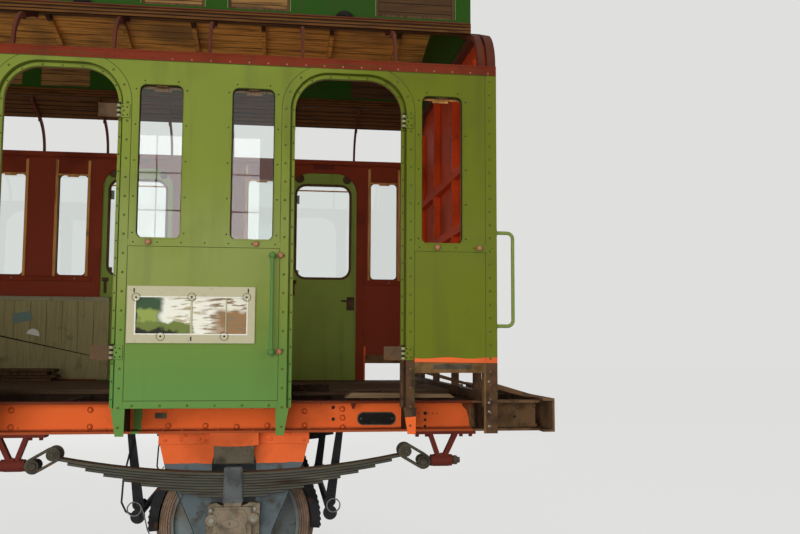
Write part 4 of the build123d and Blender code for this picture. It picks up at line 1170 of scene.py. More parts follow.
def inside_trim(coat):
    """Strips, plates and rails on the inner faces of both side walls."""
    at_doors = placed(near_and_far, [(x, 0, 0) for x in doors])
    at_windows = placed(near_and_far, [(x, 0, 0) for x in window_centres])
    clear = 0.380                           # from a door's centre to the strips between doorways
    end = half_body - 0.056
    spans = zip([-end, *(x + clear for x in doors)], [*(x - clear for x in doors), end])

    red = bmesh.new()
    add_box(red, (-end, end), (-inside, -inside + 0.020), (rail + 3.267, rail + 3.309), 0.002)
    for left, right in spans:
        add_box(red, (left, right), (-inside, -inside + 0.025), (rail + 2.163, rail + 2.200), 0.002)
    for x in window_centres:
        add_box(red, (x - 0.1255, x + 0.1255), (-inside, -inside + 0.009), (rail + 3.116, rail + 3.264),
                0.002)
    spread("inside_rails", red, near_and_far, coat["oxblood"])

    strip = around_arch([(0.003, inside), (0.003, inside - 0.012), (0.061, inside - 0.012), (0.061, inside)],
                        floor_top + 0.002)
    spread("arch_strips", strip, at_doors, coat["oxblood"])
    plate = bmesh.new()
    add_box(plate, (-0.094, 0.094), (-inside + 0.010, -inside + 0.018), (rail + 3.221, rail + 3.262), 0.002)
    spread("over_door_plates", plate, at_doors, coat["red"])

    strips = bmesh.new()
    edge, half = window_half + 0.014, 0.012
    for s in (-1, 1):
        add_box(strips, (s * edge - half, s * edge + half), (-inside, -inside + 0.014),
                (rail + 2.205, rail + 3.237), 0.002)
    add_box(strips, (half - edge, edge - half), (-inside + 0.002, -inside + 0.010),
            (rail + 3.100, rail + 3.114), 0.001)
    add_box(strips, (-0.0485, 0.0485), (-inside + 0.001, -inside + 0.014), (rail + 3.087, rail + 3.099),
            0.001)
    spread("window_strips", strips, at_windows, coat["pine"])
    catch = bmesh.new()
    x, z = 0.0465, rail + 2.184
    add_rod(catch, (x, -inside + 0.024, z), (x, -inside + 0.030, z), 0.006, segments=10)
    add_ball(catch, (x, -inside + 0.034, z), 0.009)
    spread("rail_catches", catch, at_windows, coat["bolt"])
    # A stop round each far doorway, which the leaf's inner face meets with a gap of 5 mm
    back, front = leaf_inner - 0.024, leaf_inner - 0.005
    stop = around_arch([(-0.012, back), (-0.012, front), (0.012, front), (0.012, back)], panel_foot + 0.010)
    spread("door_stops", stop, [mirror_y @ at(x, 0, 0) for x in doors], coat["oxblood"])


def far_door_fittings(coat):
    """Window frames, crossbars, discs, locks, handles and mouldings, on each far door's own body."""
    inner, outer = -leaf_inner, -leaf_outer
    lock_x, lock_z = 0.256, rail + 2.010
    handle_x = 0.278
    disc_x, disc_z = 0.2175, rail + 3.136
    panel_z = rail + 1.760                  # middle of the lower moulding
    at_window = at(0, 0, door_window_z)

    wooden = bmesh.new()
    join(wooden, rounded_ring(*door_window, [(0.008, inner), (-0.014, inner - 0.010), (-0.014, inner + 0.004),
                                             (0.008, inner + 0.006)]), at_window)
    bar = bmesh.new()
    add_box(bar, (-0.236, 0.236), (inner - 0.010, inner - 0.003), (rail + 3.020, rail + 3.032), 0.001)
    mouldings = bmesh.new()
    join(mouldings, rounded_ring(*door_window, [(0.0, outer + 0.004), (0.0, outer - 0.002),
                                                (0.004, outer - 0.004), (0.012, outer - 0.001),
                                                (0.012, outer + 0.004)]), at_window)
    join(mouldings, rounded_ring(0.470, 0.640, 0.030, [(0.0, outer + 0.004), (0.002, outer - 0.003),
                                                       (0.010, outer - 0.005), (0.018, outer - 0.002),
                                                       (0.020, outer + 0.004)]), at(0, 0, panel_z))
    iron = bmesh.new()
    for x in (-disc_x, disc_x):
        add_rod(iron, (x, inner, disc_z), (x, inner + 0.006, disc_z), 0.041, segments=28, edge=0.002)
    add_box(iron, (-0.290, -0.236), (inner, inner + 0.012), (rail + 2.165, rail + 2.200), 0.003)
    add_box(iron, (-0.276, -0.250), (inner, inner + 0.006), (rail + 2.060, rail + 2.166), 0.002)
    add_box(iron, (0.222, 0.290), (inner, inner + 0.014), (rail + 1.930, rail + 2.050), 0.003)
    add_rod(iron, (lock_x, inner + 0.012, lock_z), (lock_x, inner + 0.030, lock_z), 0.011, segments=14)
    add_rod(iron, (lock_x, inner + 0.026, lock_z), (lock_x - 0.086, inner + 0.030, lock_z + 0.006),
            0.009, 0.007)
    handle = bmesh.new()
    grip_y, grip_z = outer - 0.034, lock_z + 0.006
    add_box(handle, (handle_x - 0.016, handle_x + 0.016), (outer - 0.004, outer),
            (rail + 1.930, rail + 2.060), 0.0015)
    add_rod(handle, (handle_x, outer, lock_z), (handle_x, outer - 0.036, lock_z), 0.009, segments=12)
    add_rod(handle, (handle_x, grip_y, grip_z), (handle_x, grip_y, rail + 1.900), 0.010, 0.007)
    add_ball(handle, (handle_x, grip_y, grip_z), 0.0115)

    for name, one, finish, slot in (("window_frame", wooden, "timber", "door_green"),
                                    ("crossbar", bar, "pine", "door_green"),
                                    ("mouldings", mouldings, "door", "door_green"),
                                    ("lock", iron, "hinge", "hinge_brown"),
                                    ("handle", handle, "copper", "hinge_brown")):
        mesh = pattern(one)
        for i, x in enumerate(doors, 1):
            made = bmesh.new()
            stamp(made, mesh, [mirror_y @ at(x, 0, 0)])
            piece(f"door_{i}_{name}", made, coat[finish], f"door_{i}")
        bpy.data.meshes.remove(mesh)


def dado(coat):
    """Boards on the dado: sound ones cut off on a slant, and loose ones that lean below them."""
    back = dado_low.y + 0.024                # front face of the boards behind
    front = back - 0.012
    left_end, right_end = dado_low.x, dado_high.x
    top = dado_high.z - 0.037
    low = floor_top + 0.012
    cut_x, cut_z, slope = 0.602, rail + 1.671, 0.2236  # on the slanting cut, and its fall

    def slant(x):
        return cut_z - slope * (x - cut_x)

    upper = bmesh.new()
    board, gap = 0.132, 0.0015
    edges = [left_end, *(0.647 + board * i for i in range(-1, 6)), right_end]
    for left, right in zip(edges, edges[1:]):
        add_slab(upper, [(left + gap, slant(left)), (right - gap, slant(right)), (right - gap, top),
                         (left + gap, top)], back, front)
    piece("dado_facing", upper, coat["dado"])

    def clipped(x):
        return min(max(x, left_end), right_end)

    lower = bmesh.new()
    lean = 0.232
    first, pitch, width = 0.918, 0.190, 0.188
    for k in range(-2, 4):
        left = first + pitch * k
        heads = [(clipped(x), slant(x) + 0.02) for x in (left, left + width)]
        if heads[1][0] - heads[0][0] > 0.01:
            feet = [(clipped(x - lean * (z - low)), low) for x, z in reversed(heads)]
            add_slab(lower, [*heads, *feet], back, back - 0.004)
    piece("fallen_boards", lower, coat["dado"])
    # A painted shadow under the slanted cut
    shadow = bmesh.new()
    add_slab(shadow, [(left_end, slant(left_end) - 0.014), (right_end, slant(right_end) - 0.006),
                      (right_end, slant(right_end) + 0.01), (left_end, slant(left_end) + 0.01)],
             back, back - 0.0055)
    piece("dado_cut_shadow", shadow, coat["gasket_and_shadow"])
    cap = bmesh.new()
    add_box(cap, (left_end, right_end), (dado_low.y - 0.002, dado_low.y + 0.01), (top, dado_high.z + 0.001),
            0.002)
    piece("dado_cap", cap, coat["ledge"])

    hole = bmesh.new()
    tilt, radius = radians(-12.6), 0.054
    arc = [tilt + pi * i / 12 for i in range(13)]
    add_slab(hole, [(0.806 + radius * cos(a), rail + 1.690 + radius * sin(a)) for a in arc],
             front, front - 0.002)
    piece("dado_hole", hole, coat["rim"])
    scrap = bmesh.new()
    add_slab(scrap, [(0.640, rail + 1.788), (0.800, rail + 1.820), (0.777, rail + 1.898),
                     (0.633, rail + 1.870)], front - 0.004, front - 0.007)
    piece("dado_scrap", scrap, coat["scrap"])
    pile = bmesh.new()
    pile_back, step = 1.395, 0.026
    for k, (left, right, depth) in enumerate(((0.45, 1.02, 0.20), (0.47, 1.05, 0.16), (0.43, 0.98, 0.18),
                                              (0.50, 1.04, 0.14))):
        foot = floor_top + step * k
        add_box(pile, (left, right), (pile_back - depth, pile_back), (foot, foot + 0.024), 0.003)
    piece("stacked_boards", pile, coat["timber"])


def floor_bits(coat):
    """A loose plank, and bars left on the floor."""
    plank = bmesh.new()
    add_slab(plank, [(3.30, floor_top), (3.96, floor_top), (3.93, floor_top + 0.022),
                     (3.34, floor_top + 0.030)], -1.26, -1.38)
    piece("loose_plank", plank, coat["plank"])
    bars = bmesh.new()
    add_rod(bars, (2.75, -1.20, floor_top + 0.012), (3.55, -1.05, floor_top + 0.012), 0.012)
    add_box(bars, (2.45, 3.25), (-0.62, -0.55), (floor_top, floor_top + 0.045), 0.004)
    piece("loose_bars", bars, coat["dark_steel"])


def floor_nails(screw_and_shade):
    """Nail heads along the floor boards, over each cross member."""
    low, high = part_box("floor_boards")
    row_pitch, board_pitch = 0.825, 0.156
    rows = [-half_body + 0.10 + row_pitch * i for i in range(11)]
    # How much of the floor's length is left of the short boards, by their number
    lengths = {0: 0.52, 1: 0.50, 2: 0.55, 3: 0.49, 4: 0.58, 5: 0.53, 6: 0.60, 13: 0.70, 14: 0.74}
    places = []
    for i in range(18):
        y = (i - 8.5) * board_pitch
        end = low.x + (high.x - low.x) * lengths.get(i, 1) - 0.02
        places += [at(x, y + dy, floor_top) @ faces_up for x in rows for dy in (-0.045, 0.045)
                   if low.x < x < end]
    dots("floor_nails", dome(0.005, 0.0015, 6), places, screw_and_shade)


# Underframe and running gear

def solebar_fittings(coat):
    """Rivets, holes, ribs and the blank plate on the solebars."""
    rivets = [(2.256, 1.124), (2.476, 1.120), (2.662, 1.114), (2.847, 1.120), (3.072, 1.120), (3.071, 1.205),
              (3.304, 1.218), (3.306, 1.164), (3.307, 1.105), (2.27, 1.240), (2.49, 1.240), (2.58, 1.240),
              (2.75, 1.240), (2.85, 1.240)]
    rivets += [(x, z) for x in (0.35, 0.90, 1.35, 1.80) for z in (1.12, 1.22)]
    bare_rivets = [(4.449, 1.234), (4.528, 1.234), (4.465, 1.108), (4.534, 1.107), (4.250, 1.24),
                   (4.330, 1.24)]
    dots("web_rivets", dome(0.0145, 0.012, 12),
         placed(four_corners, [(x, -web_face, rail + z) for x, z in rivets + bare_rivets]),
         coat["solebar"])
    dots("web_bolts", dome(0.0095, 0.014, 8),
         placed(four_corners, [(x, -web_face, rail + 1.235) for x in (4.128, 4.176)]),
         coat["bolt"])
    # A dark ring round each rivet: rust, and painted shade round the dome
    rings = bmesh.new()
    for x, z in rivets:
        add_washer(rings, x, rail + z, 0.0185, 0.0135, -web_face, -web_face - 0.0006, 16)
    spread("rivet_rings", rings, four_corners, coat["web_rust_and_shade"])
    flange_rivets = [2.231, 2.342, 2.449, 2.554, 2.764, 2.870, 3.10, 4.026, 4.068, 4.100]
    z = solebar_foot + flange_thick
    dots("flange_rivets", dome(0.010, 0.006, 10),
         placed(four_corners, [(x, -1.175, z) for x in flange_rivets], faces_up),
         coat["solebar"])
    # Dark discs for the holes: painted shade inside them
    # Columns: x, height above the rail, radius
    holes = [(3.247, 1.227, 0.011), (3.248, 1.156, 0.011), (3.823, 1.189, 0.011), (3.823, 1.148, 0.009),
             (3.823, 1.109, 0.009), (3.777, 1.189, 0.004), (3.872, 1.188, 0.004), (3.899, 1.188, 0.004),
             (4.399, 1.165, 0.009)]
    made = bmesh.new()
    for x, z, radius in holes:
        add_rod(made, (x, -web_face + 0.002, rail + z), (x, -web_face - 0.0008, rail + z), radius,
                segments=16)
    spread("web_holes", made, four_corners, coat["screw_and_shade"])

    plate_size = (0.232, 0.070, 0.033)
    plate_x, plate_z = 3.517, rail + 1.158
    plate = bmesh.new()
    join(plate, rounded_plate(*plate_size, -web_face, -web_face - 0.003), at(plate_x, 0, plate_z))
    piece("blank_plate", plate, coat["vent"])
    rim = bmesh.new()
    section = [(0.006, -web_face), (0.006, -web_face - 0.0025), (0.002, -web_face - 0.0045),
               (-0.001, -web_face - 0.0035), (-0.001, -web_face)]
    join(rim, rounded_ring(*plate_size, section, 6), at(plate_x, 0, plate_z))
    for s in (-1, 1):
        add_ball(rim, (plate_x + s * 0.097, -web_face - 0.003, plate_z), 0.006, 0.5)
    piece("plate_rim", rim, coat["stop"])
    patch = bmesh.new()
    add_box(patch, (2.175, 2.245), (-web_face, -web_face - 0.0012), (rail + 1.166, rail + 1.201), 0.0004)
    piece("web_patch", patch, coat["stop"])

    ribs = bmesh.new()
    for x in (4.124, 4.178):
        add_box(ribs, (x - 0.004, x + 0.004), (-web_face, -web_face - 0.030),
                (solebar_foot + 0.020, solebar_head - 0.020))
        add_ball(ribs, (x - 0.003, -web_face - 0.026, solebar_foot + 0.034), 0.013, 0.8)
    add_box(ribs, (4.433, 4.440), (-web_face, -web_face - 0.003),
            (solebar_foot + 0.016, solebar_head - 0.016), 0.001)
    spread("web_ribs", ribs, four_corners, coat["rusted"])
    dabs = bmesh.new()
    under_flange = solebar_head - flange_thick
    for x in (4.124, 4.184):
        add_ball(dabs, (x, -web_face - 0.028, rail + 1.236), 0.010, 0.9)
        add_slab(dabs, [(x - 0.010, rail + 1.252), (x + 0.010, rail + 1.252), (x, rail + 1.222)],
                 -web_face - 0.031, -web_face - 0.034)
    add_slab(dabs, [(3.348, under_flange), (3.384, under_flange), (3.371, rail + 1.222),
                    (3.361, rail + 1.222)], -1.185, -1.195)
    add_rod(dabs, (3.366, -1.190, under_flange), (3.366, -1.190, rail + 1.226), 0.007)
    spread("red_dabs", dabs, (as_shaped, mirror_x @ mirror_y), coat["red"])


def guard_fittings(coat):
    """The riveted strips that join the axle guards to the solebars, and painted shadows along the guards'
    edges.
    """
    foot, top = rail + 1.014, rail + 1.085
    rivets = [(-0.409, 1.039), (-0.316, 1.045), (-0.210, 1.045), (-0.176, 1.036), (0.196, 1.036),
              (0.219, 1.043), (0.417, 1.036), (0.330, 1.070), (-0.290, 1.070)]
    one = bmesh.new()
    for s in (-1, 1):
        add_box(one, (s * 0.140, s * 0.449), (-guard_face, -guard_face - 0.009), (foot, top), 0.002)
        add_box(one, (s * 0.133, s * 0.145), (-guard_face, -1.214), (foot + 0.001, top), 0.001)
    # Between its two halves, the strip bulges out over the bump stop
    half = 0.144
    outline = [(-half, top), (half, top)]
    outline += [(half * cos(a), foot + 0.004 - 0.012 * sin(a)) for a in (pi * i / 16 for i in range(17))]
    add_slab(one, outline, -1.2125, -1.2160)
    spread("guard_strips", one, by_axles, coat["orange"])
    # Painted shadow along the guard plates' slanting edges
    edges = bmesh.new()
    for s in (-1, 1):
        add_slab(edges, [(s * 0.345, rail + 0.755), (s * 0.341, rail + 0.755), (s * 0.231, rail + 0.498),
                         (s * 0.210, rail + 0.300), (s * 0.2145, rail + 0.300), (s * 0.235, rail + 0.498)],
                 -guard_face + 0.002, -guard_face - 0.0012)
    spread("guard_edges", edges, by_axles, coat["screw_and_shade"])
    dots("guard_rivets", dome(0.0115, 0.007, 12),
         placed(by_axles, [(x, -guard_face - 0.009, rail + z) for x, z in rivets]),
         coat["orange"])


def axle_box_fittings(coat):
    """Covers, bosses, lugs and bolts of the axle boxes."""
    lug_x, left_lug_z, right_lug_z = 0.122, rail + 0.581, rail + 0.586
    cover = bmesh.new()
    right = [(0.060, 0.642), (0.074, 0.622), (0.088, 0.604), (0.088, 0.566), (0.076, 0.548), (0.084, 0.505),
             (0.084, 0.385)]
    left = [(-x, z) for x, z in reversed(right)]
    left[-1] = (-0.088, 0.642)
    add_slab(cover, [(x, rail + z) for x, z in right + left], -box_front, -box_front - 0.010)
    rim_y = (-box_front - 0.009, -box_front - 0.0115)
    section = [(0.004, rim_y[0]), (0.004, rim_y[1]), (-0.002, rim_y[1]), (-0.002, rim_y[0])]
    join(cover, rounded_ring(0.128, 0.205, 0.022, section), at(-0.004, 0, rail + 0.522))
    oval = bmesh.new()
    bmesh.ops.create_cone(oval, cap_ends=True, segments=28, radius1=0.040, radius2=0.036, depth=0.006)
    face_near_side(oval)
    bmesh.ops.scale(oval, vec=(1.38, 1, 0.70), verts=oval.verts)
    join(cover, oval, at(-0.012, -box_front - 0.012, rail + 0.560))
    for x, z in ((-lug_x, left_lug_z), (lug_x, right_lug_z)):
        add_washer(cover, x, z, 0.034, 0.016, -box_front + 0.014, -box_front - 0.008)
        add_box(cover, (min(x, x * 0.62), max(x, x * 0.62)), (-box_front + 0.012, -box_front - 0.006),
                (z - 0.020, z + 0.020), 0.004)
    # Sloping shoulders, behind the cover, and the collar under the buckle
    shoulders = [(-0.146, 0.600), (0.158, 0.590), (0.158, 0.672), (0.098, 0.676), (0.070, 0.662),
                 (-0.070, 0.662), (-0.098, 0.678), (-0.140, 0.668)]
    add_slab(cover, [(x, rail + z) for x, z in shoulders], -1.170, -1.215)
    add_box(cover, (-0.052, 0.052), (-1.150, -1.238), (rail + 0.655, rail + 0.690), 0.004)
    spread("axle_box_covers", cover, by_axles, coat["box_iron"])
    bolts = bmesh.new()
    add_rod(bolts, (-lug_x, -box_front, left_lug_z), (-lug_x, -box_front - 0.016, left_lug_z),
            0.020, 0.016, 20, 0.002)
    add_bolt(bolts, lug_x, right_lug_z, -box_front - 0.004, 0.015, 0.020)
    for x, z in ((-0.128, 0.634), (0.128, 0.640)):
        add_rod(bolts, (x, -1.213, rail + z), (x, -1.228, rail + z), 0.012, segments=6, edge=0.001)
    spread("axle_box_bolts", bolts, by_axles, coat["bolt"])


def spring_fittings(coat):
    """Straps on the buckles, rings on the eyes, the shackles' links, and the brackets' barrels and nuts."""
    ring_back = -1.244
    pin_y = -1.191                          # a bracket's pin
    bolt_y = -1.226                         # a buckle's bolts
    outer_link, inner_link = (-1.235, -1.246), (-1.139, -1.150)     # back and front of each
    link_width = 0.062
    strap = bmesh.new()
    add_box(strap, (-0.050, 0.050), (-buckle_front + 0.003, -buckle_front - 0.005),
            (rail + 0.704, rail + 0.884), 0.004, 2)
    add_box(strap, (-0.053, 0.053), (-1.140, -buckle_front - 0.001), (rail + 0.872, rail + 0.888), 0.004)
    for x in (-0.047, 0.047):
        add_rod(strap, (x, bolt_y, rail + 0.708), (x, bolt_y, rail + 0.680), 0.014, segments=6, edge=0.001)
        add_rod(strap, (x, bolt_y, rail + 0.682), (x, bolt_y, rail + 0.668), 0.008)
    spread("buckle_straps", strap, by_axles, coat["buckle"])

    rings = bmesh.new()
    for s in (-1, 1):
        x = s * eye_x
        add_washer(rings, x, eye_z, 0.034, 0.026, ring_back, -1.250)
        add_washer(rings, x, eye_z, 0.022, 0.014, ring_back, -1.252)
        add_rod(rings, (x, -1.240, eye_z), (x, -1.256, eye_z), 0.014, 0.011, 16, 0.001)
        x = s * fork_x
        add_washer(rings, x, fork_z, 0.034, 0.026, ring_back, -1.250)
        add_rod(rings, (x, -1.243, fork_z), (x, -1.262, fork_z), 0.022, segments=6, edge=0.002)
    spread("spring_rings", rings, by_axles, coat["shackle"])

    links = bmesh.new()
    reach = Vector((fork_x - eye_x, 0, fork_z - eye_z))
    for s in (-1, 1):
        middle = Vector((s * (eye_x + fork_x) / 2, 0, (eye_z + fork_z) / 2))
        swing = Matrix.Rotation(-s * asin(reach.z / reach.length), 4, "Y")
        for y_back, y_front in (outer_link, inner_link):
            section = [(0.016, y_back), (0.016, y_front + 0.002), (0.012, y_front), (0.002, y_front),
                       (0.0, y_front + 0.002), (0.0, y_back)]
            link = rounded_ring(reach.length + link_width, link_width, 0.0305, section, 8)
            join(links, link, Matrix.Translation(middle) @ swing)
            for x, z in ((eye_x, eye_z), (fork_x, fork_z)):
                add_rod(links, (s * x, y_back, z), (s * x, y_front, z), 0.033, segments=24, edge=0.002)
        add_rod(links, (s * fork_x, inner_link[1], fork_z), (s * fork_x, outer_link[0], fork_z), 0.026,
                segments=20)
        for start, end in ((fork_x, 1.192), (1.326, 1.372)):
            add_rod(links, (s * start, -1.192, fork_z), (s * end, -1.192, fork_z), 0.018, segments=16)
    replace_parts(spread("shackle_links", links, by_axles, coat["shackle"]), "spring_shackles")

    barrels = bmesh.new()
    for s in (-1, 1):
        add_rod(barrels, (s * 1.206, pin_y, fork_z), (s * 1.312, pin_y, fork_z), 0.0372, segments=24,
                edge=0.004)
        add_ball(barrels, (s * 1.259, -1.214, fork_z + 0.034), 0.014, 0.7)
        for x in (1.110, 1.170, 1.385, 1.445):
            add_rod(barrels, (s * x, pin_y, solebar_foot - 0.018), (s * x, pin_y, solebar_foot - 0.034),
                    0.012, segments=6, edge=0.001)
    spread("bracket_barrels", barrels, by_axles, coat["red"])
    nuts = bmesh.new()
    for s in (-1, 1):
        add_rod(nuts, (s * 1.332, pin_y, fork_z), (s * 1.358, pin_y, fork_z), 0.030, segments=6, edge=0.002)
        add_rod(nuts, (s * 1.356, pin_y, fork_z), (s * 1.376, pin_y, fork_z), 0.020, 0.017, 14, 0.002)
    spread("bracket_nuts", nuts, by_axles, coat["shackle"])


def stop_fittings(coat):
    """Plates and bolts on the bump stops."""
    stop = bmesh.new()
    add_box(stop, (-0.112, 0.112), (-1.209, -1.2135), (rail + 0.905, rail + 0.950), 0.002)
    for x in (-0.085, 0.085):
        add_rod(stop, (x, -1.212, rail + 0.928), (x, -1.2195, rail + 0.928), 0.010, segments=6, edge=0.001)
    spread("stop_plates", stop, by_axles, coat["stop"])


def brake_fittings(coat):
    """Bosses, nuts, ribs, a rod and wires on the brake gear."""
    pin_x, pin_z, upper_z = 0.600, rail + 0.540, rail + 0.612
    front = -0.830                          # front of a hanger
    rib_reach = 0.537                       # from the wheel's centre to the ribs on a block's back
    black = bmesh.new()
    for s in (-1, 1):
        x = s * pin_x
        add_rod(black, (x, front, pin_z), (x, front - 0.020, pin_z), 0.045, segments=24, edge=0.004)
        add_rod(black, (x, front - 0.018, pin_z), (x, front - 0.036, pin_z), 0.020, segments=6, edge=0.002)
        add_washer(black, x, upper_z, 0.036, 0.018, front, front - 0.012)
        add_rod(black, (x, front - 0.002, upper_z), (x, front - 0.026, upper_z), 0.014, segments=6,
                edge=0.001)
        for k in range(10):
            angle = radians(-2 + 3.8 * k)
            rib_x, rib_z = s * rib_reach * cos(angle), wheel_z + rib_reach * sin(angle)
            add_rod(black, (rib_x, -0.732, rib_z), (rib_x, -0.802, rib_z), 0.009, segments=8, edge=0.002)
    # Bends of the bent rod and of the wire: x, and height above the rail
    rod_bends = ((-0.640, 1.020), (-0.692, 0.780), (-0.700, 0.630), (-0.672, 0.572), (-0.640, 0.556))
    wire_bends = ((-0.580, 0.610), (-0.560, 0.560), (-0.535, 0.460), (-0.505, 0.400))
    add_wire(black, [(x, front - 0.016, rail + z) for x, z in rod_bends], 0.006)
    spread("brake_bosses", black, by_axles, coat["brake_black"])
    wire = bmesh.new()
    for s in (-1, 1):
        add_washer(wire, s * 0.619, rail + 0.590, 0.046, 0.038, front - 0.032, front - 0.040, 28)
    add_wire(wire, [(x, front - 0.036, rail + z) for x, z in wire_bends], 0.004)
    spread("brake_wires", wire, by_axles, coat["wire"])


def wheel_fittings(coat):
    """A retaining ring on the outer face of each wheel."""
    outer, inner, rim_face = 0.419, 0.404, -0.804
    for name, x in (("left", -axle_x), ("right", axle_x)):
        ring = bmesh.new()
        add_washer(ring, x, wheel_z, outer, inner, rim_face, rim_face - 0.008, 48)
        spread(f"{name}_wheel_rings", ring, near_and_far, coat["tyre"], f"{name}_wheelset")


# Roof, clerestory and ends

def roof_fittings(coat):
    """Brackets at the ribs' tips, the edge boards' lips and layers with painted shade between them, and the
    clerestory's frames, seams and painted highlights along the lights' edges.
    """
    brackets = bmesh.new()
    ribs = [x + dx for x in doors for dx in (-0.280, 0.280)] + [(a + b) / 2 for a, b in zip(doors, doors[1:])]
    for x in ribs:
        add_box(brackets, (x - 0.012, x + 0.012), (-1.266, -1.290), (rail + 3.540, edge_foot - 0.001), 0.003)
    spread("rib_brackets", brackets, near_and_far, coat["red"])

    lips, layers, gaps = bmesh.new(), bmesh.new(), bmesh.new()
    add_box(lips, (-edge_end, edge_end), (-edge_face + 0.004, -edge_face - 0.012),
            (edge_head - 0.009, edge_head), 0.002)
    spread("edge_lips", lips, near_and_far, coat["rib"])
    depth = (edge_head - 0.010 - edge_foot) / 3
    for k in range(3):
        add_box(layers, (-edge_end + 0.020 * k, edge_end - 0.030 * k),
                (-edge_face, -edge_face - 0.003 - 0.003 * ((k + 1) % 2)),
                (edge_foot + depth * k + 0.002, edge_foot + depth * (k + 1) - 0.002), 0.001)
    spread("edge_layers", layers, near_and_far, coat["sill"])
    # Painted shade between the layered edge boards
    for k in (1, 2):
        z = edge_foot + depth * k
        add_box(gaps, (-edge_end, edge_end - 0.03), (-edge_face + 0.002, -edge_face - 0.0008),
                (z - 0.0025, z + 0.0025), 0)
    spread("edge_gaps", gaps, near_and_far, coat["screw_and_shade"])

    # Lights of the clerestory: centre and width. The first and the last are wider
    lights = [(x + s * 0.553, 0.396) for x in doors for s in (-1, 1)]
    lights[0] = (doors[0] - 0.4735, 0.529)
    lights[-1] = (doors[-1] + 0.4735, 0.529)
    frame_y = (-clerestory_face + 0.008, -clerestory_face + 0.020)
    edge_y = (-clerestory_face, -clerestory_face - 0.002)
    frames, edges, rivets = bmesh.new(), bmesh.new(), []
    for x, wide in lights:
        for s in (-1, 1):
            side = x + s * wide / 2
            add_box(frames, (side, side - s * 0.018), frame_y, (light_foot, light_head), 0.001)
            # Painted highlight along each light's folded edge
            add_box(edges, (side, side + s * 0.006), edge_y, (light_foot, light_head), 0.0006)
            rivets += [(side + s * 0.022, z) for z in spaced(light_foot + 0.02, light_head - 0.02, 0.06)]
        across = (x - wide / 2, x + wide / 2)
        for z in (light_foot + 0.009, light_head - 0.009):
            add_box(frames, across, (-clerestory_face + 0.009, -clerestory_face + 0.019),
                    (z - 0.009, z + 0.009), 0.001)
        add_box(edges, across, edge_y, (light_head, light_head + 0.006), 0.0006)
    joints, half = bmesh.new(), 0.0015
    for x in doors:
        for dx in (-0.268, -0.092, 0.096, 0.262):
            add_box(joints, (x + dx - half, x + dx + half),
                    (-clerestory_face + 0.002, -clerestory_face - 0.0005), (sill_head, clerestory_head), 0)
    spread("clerestory_seams", joints, near_and_far, coat["seam"])
    spread("light_frames", frames, near_and_far, coat["timber"])
    spread("light_edges", edges, near_and_far, coat["clerestory_edge_highlight"])
    rivets += [(x, clerestory_head - 0.022)
               for x in spaced(-clerestory_end + 0.05, clerestory_end - 0.05, 0.12)]
    dots("clerestory_rivets", dome(0.006, 0.003),
         placed(near_and_far, [(x, -clerestory_face, z) for x, z in rivets]),
         coat["clerestory"])


def end_fittings(coat):
    """Rivets on the end walls and headstocks, the headers over the end walls, and the end posts' bolts."""
    ends = (as_shaped, mirror_x)
    rows = [(y, z) for y in spaced(-1.38, 1.38, 0.115) for z in (rail + 2.835, rail + 3.40)]
    rows += [(y, z) for y in (-1.46, 1.46) for z in spaced(panel_foot + 0.05, cantrail_foot - 0.03, 0.10)]
    dots("end_rivets", dome(0.0065, 0.0035),
         placed(ends, [(half_body, y, z) for y, z in rows], faces_end),
         coat["inner"])

    # No rivets in the middle or where the buffers would stand
    free, buffer_y = 0.16, 0.875
    rows = [(y, z) for y in spaced(-1.22, 1.22, 0.122)
            for z in (headstock_foot + 0.022, headstock_head - 0.022)
            if abs(abs(y) - buffer_y) > free and abs(y) > free]
    dots("headstock_rivets", dome(0.011, 0.006, 10),
         placed(ends, [(headstock_face, y, z) for y, z in rows], faces_end),
         coat["rusted"])

    headers = bmesh.new()
    add_box(headers, (clerestory_end - 0.007, half_body - 0.0025), (-1.022, 1.022),
            (rail + 3.640, rail + 3.686), 0.002)
    spread("end_headers", headers, ends, coat["rib"])

    rows = [(y, z) for y in (-1.09, -0.38, 0.38, 1.09) for z in spaced(rail + 1.50, rail + 3.35, 0.12)]
    dots("end_post_bolts", dome(0.008, 0.005),
         placed(ends, [(half_body - 0.058, y, z) for y, z in rows], faces_in),
         coat["rusted"])


def camera():
    """The photograph's viewpoint."""
    eye = (2.8905, -6.7196, 1.635)
    yaw, pitch, roll = radians(7.83), radians(5.05), radians(0.25)
    ahead = Vector((sin(yaw) * cos(pitch), cos(yaw) * cos(pitch), sin(pitch)))
    right = Vector((cos(yaw), -sin(yaw), 0))
    up = right.cross(ahead)
    lens = bpy.data.cameras.new("photo_camera")
    lens.lens = 40.30
    lens.sensor_width = 36.0
    lens.clip_end = 200.0
    seen = added("photo_camera", lens)
    axes = (right * cos(roll) + up * sin(roll), up * cos(roll) - right * sin(roll), -ahead)
    seen.matrix_world = Matrix.Translation(eye) @ Matrix(axes).transposed().to_4x4()
    bpy.context.scene.camera = seen


def area_lamp(name, place, target, width, height, power, reflected=False):
    light = bpy.data.lights.new(name, "AREA")
    light.shape = "RECTANGLE"
    light.size, light.size_y = width, height
    light.energy = power
    lamp = added(name, light)
    ahead = (Vector(target) - Vector(place)).normalized()
    lamp.matrix_world = Matrix.Translation(place) @ ahead.to_track_quat("-Z", "Y").to_matrix().to_4x4()
    lamp.visible_camera = False
    lamp.visible_glossy = reflected
    lamp.visible_transmission = False


def seen_directly(tree):
    """One on rays from the camera, and on those that glass and gloss pass on."""
    path = tree.nodes.new("ShaderNodeLightPath")
    value = path.outputs["Is Camera Ray"]
    for name in ("Is Transmission Ray", "Is Glossy Ray"):
        either = tree.nodes.new("ShaderNodeMath")
        either.operation = "MAXIMUM"
        tree.links.new(value, either.inputs[0])
        tree.links.new(path.outputs[name], either.inputs[1])
        value = either.outputs[0]
    return value


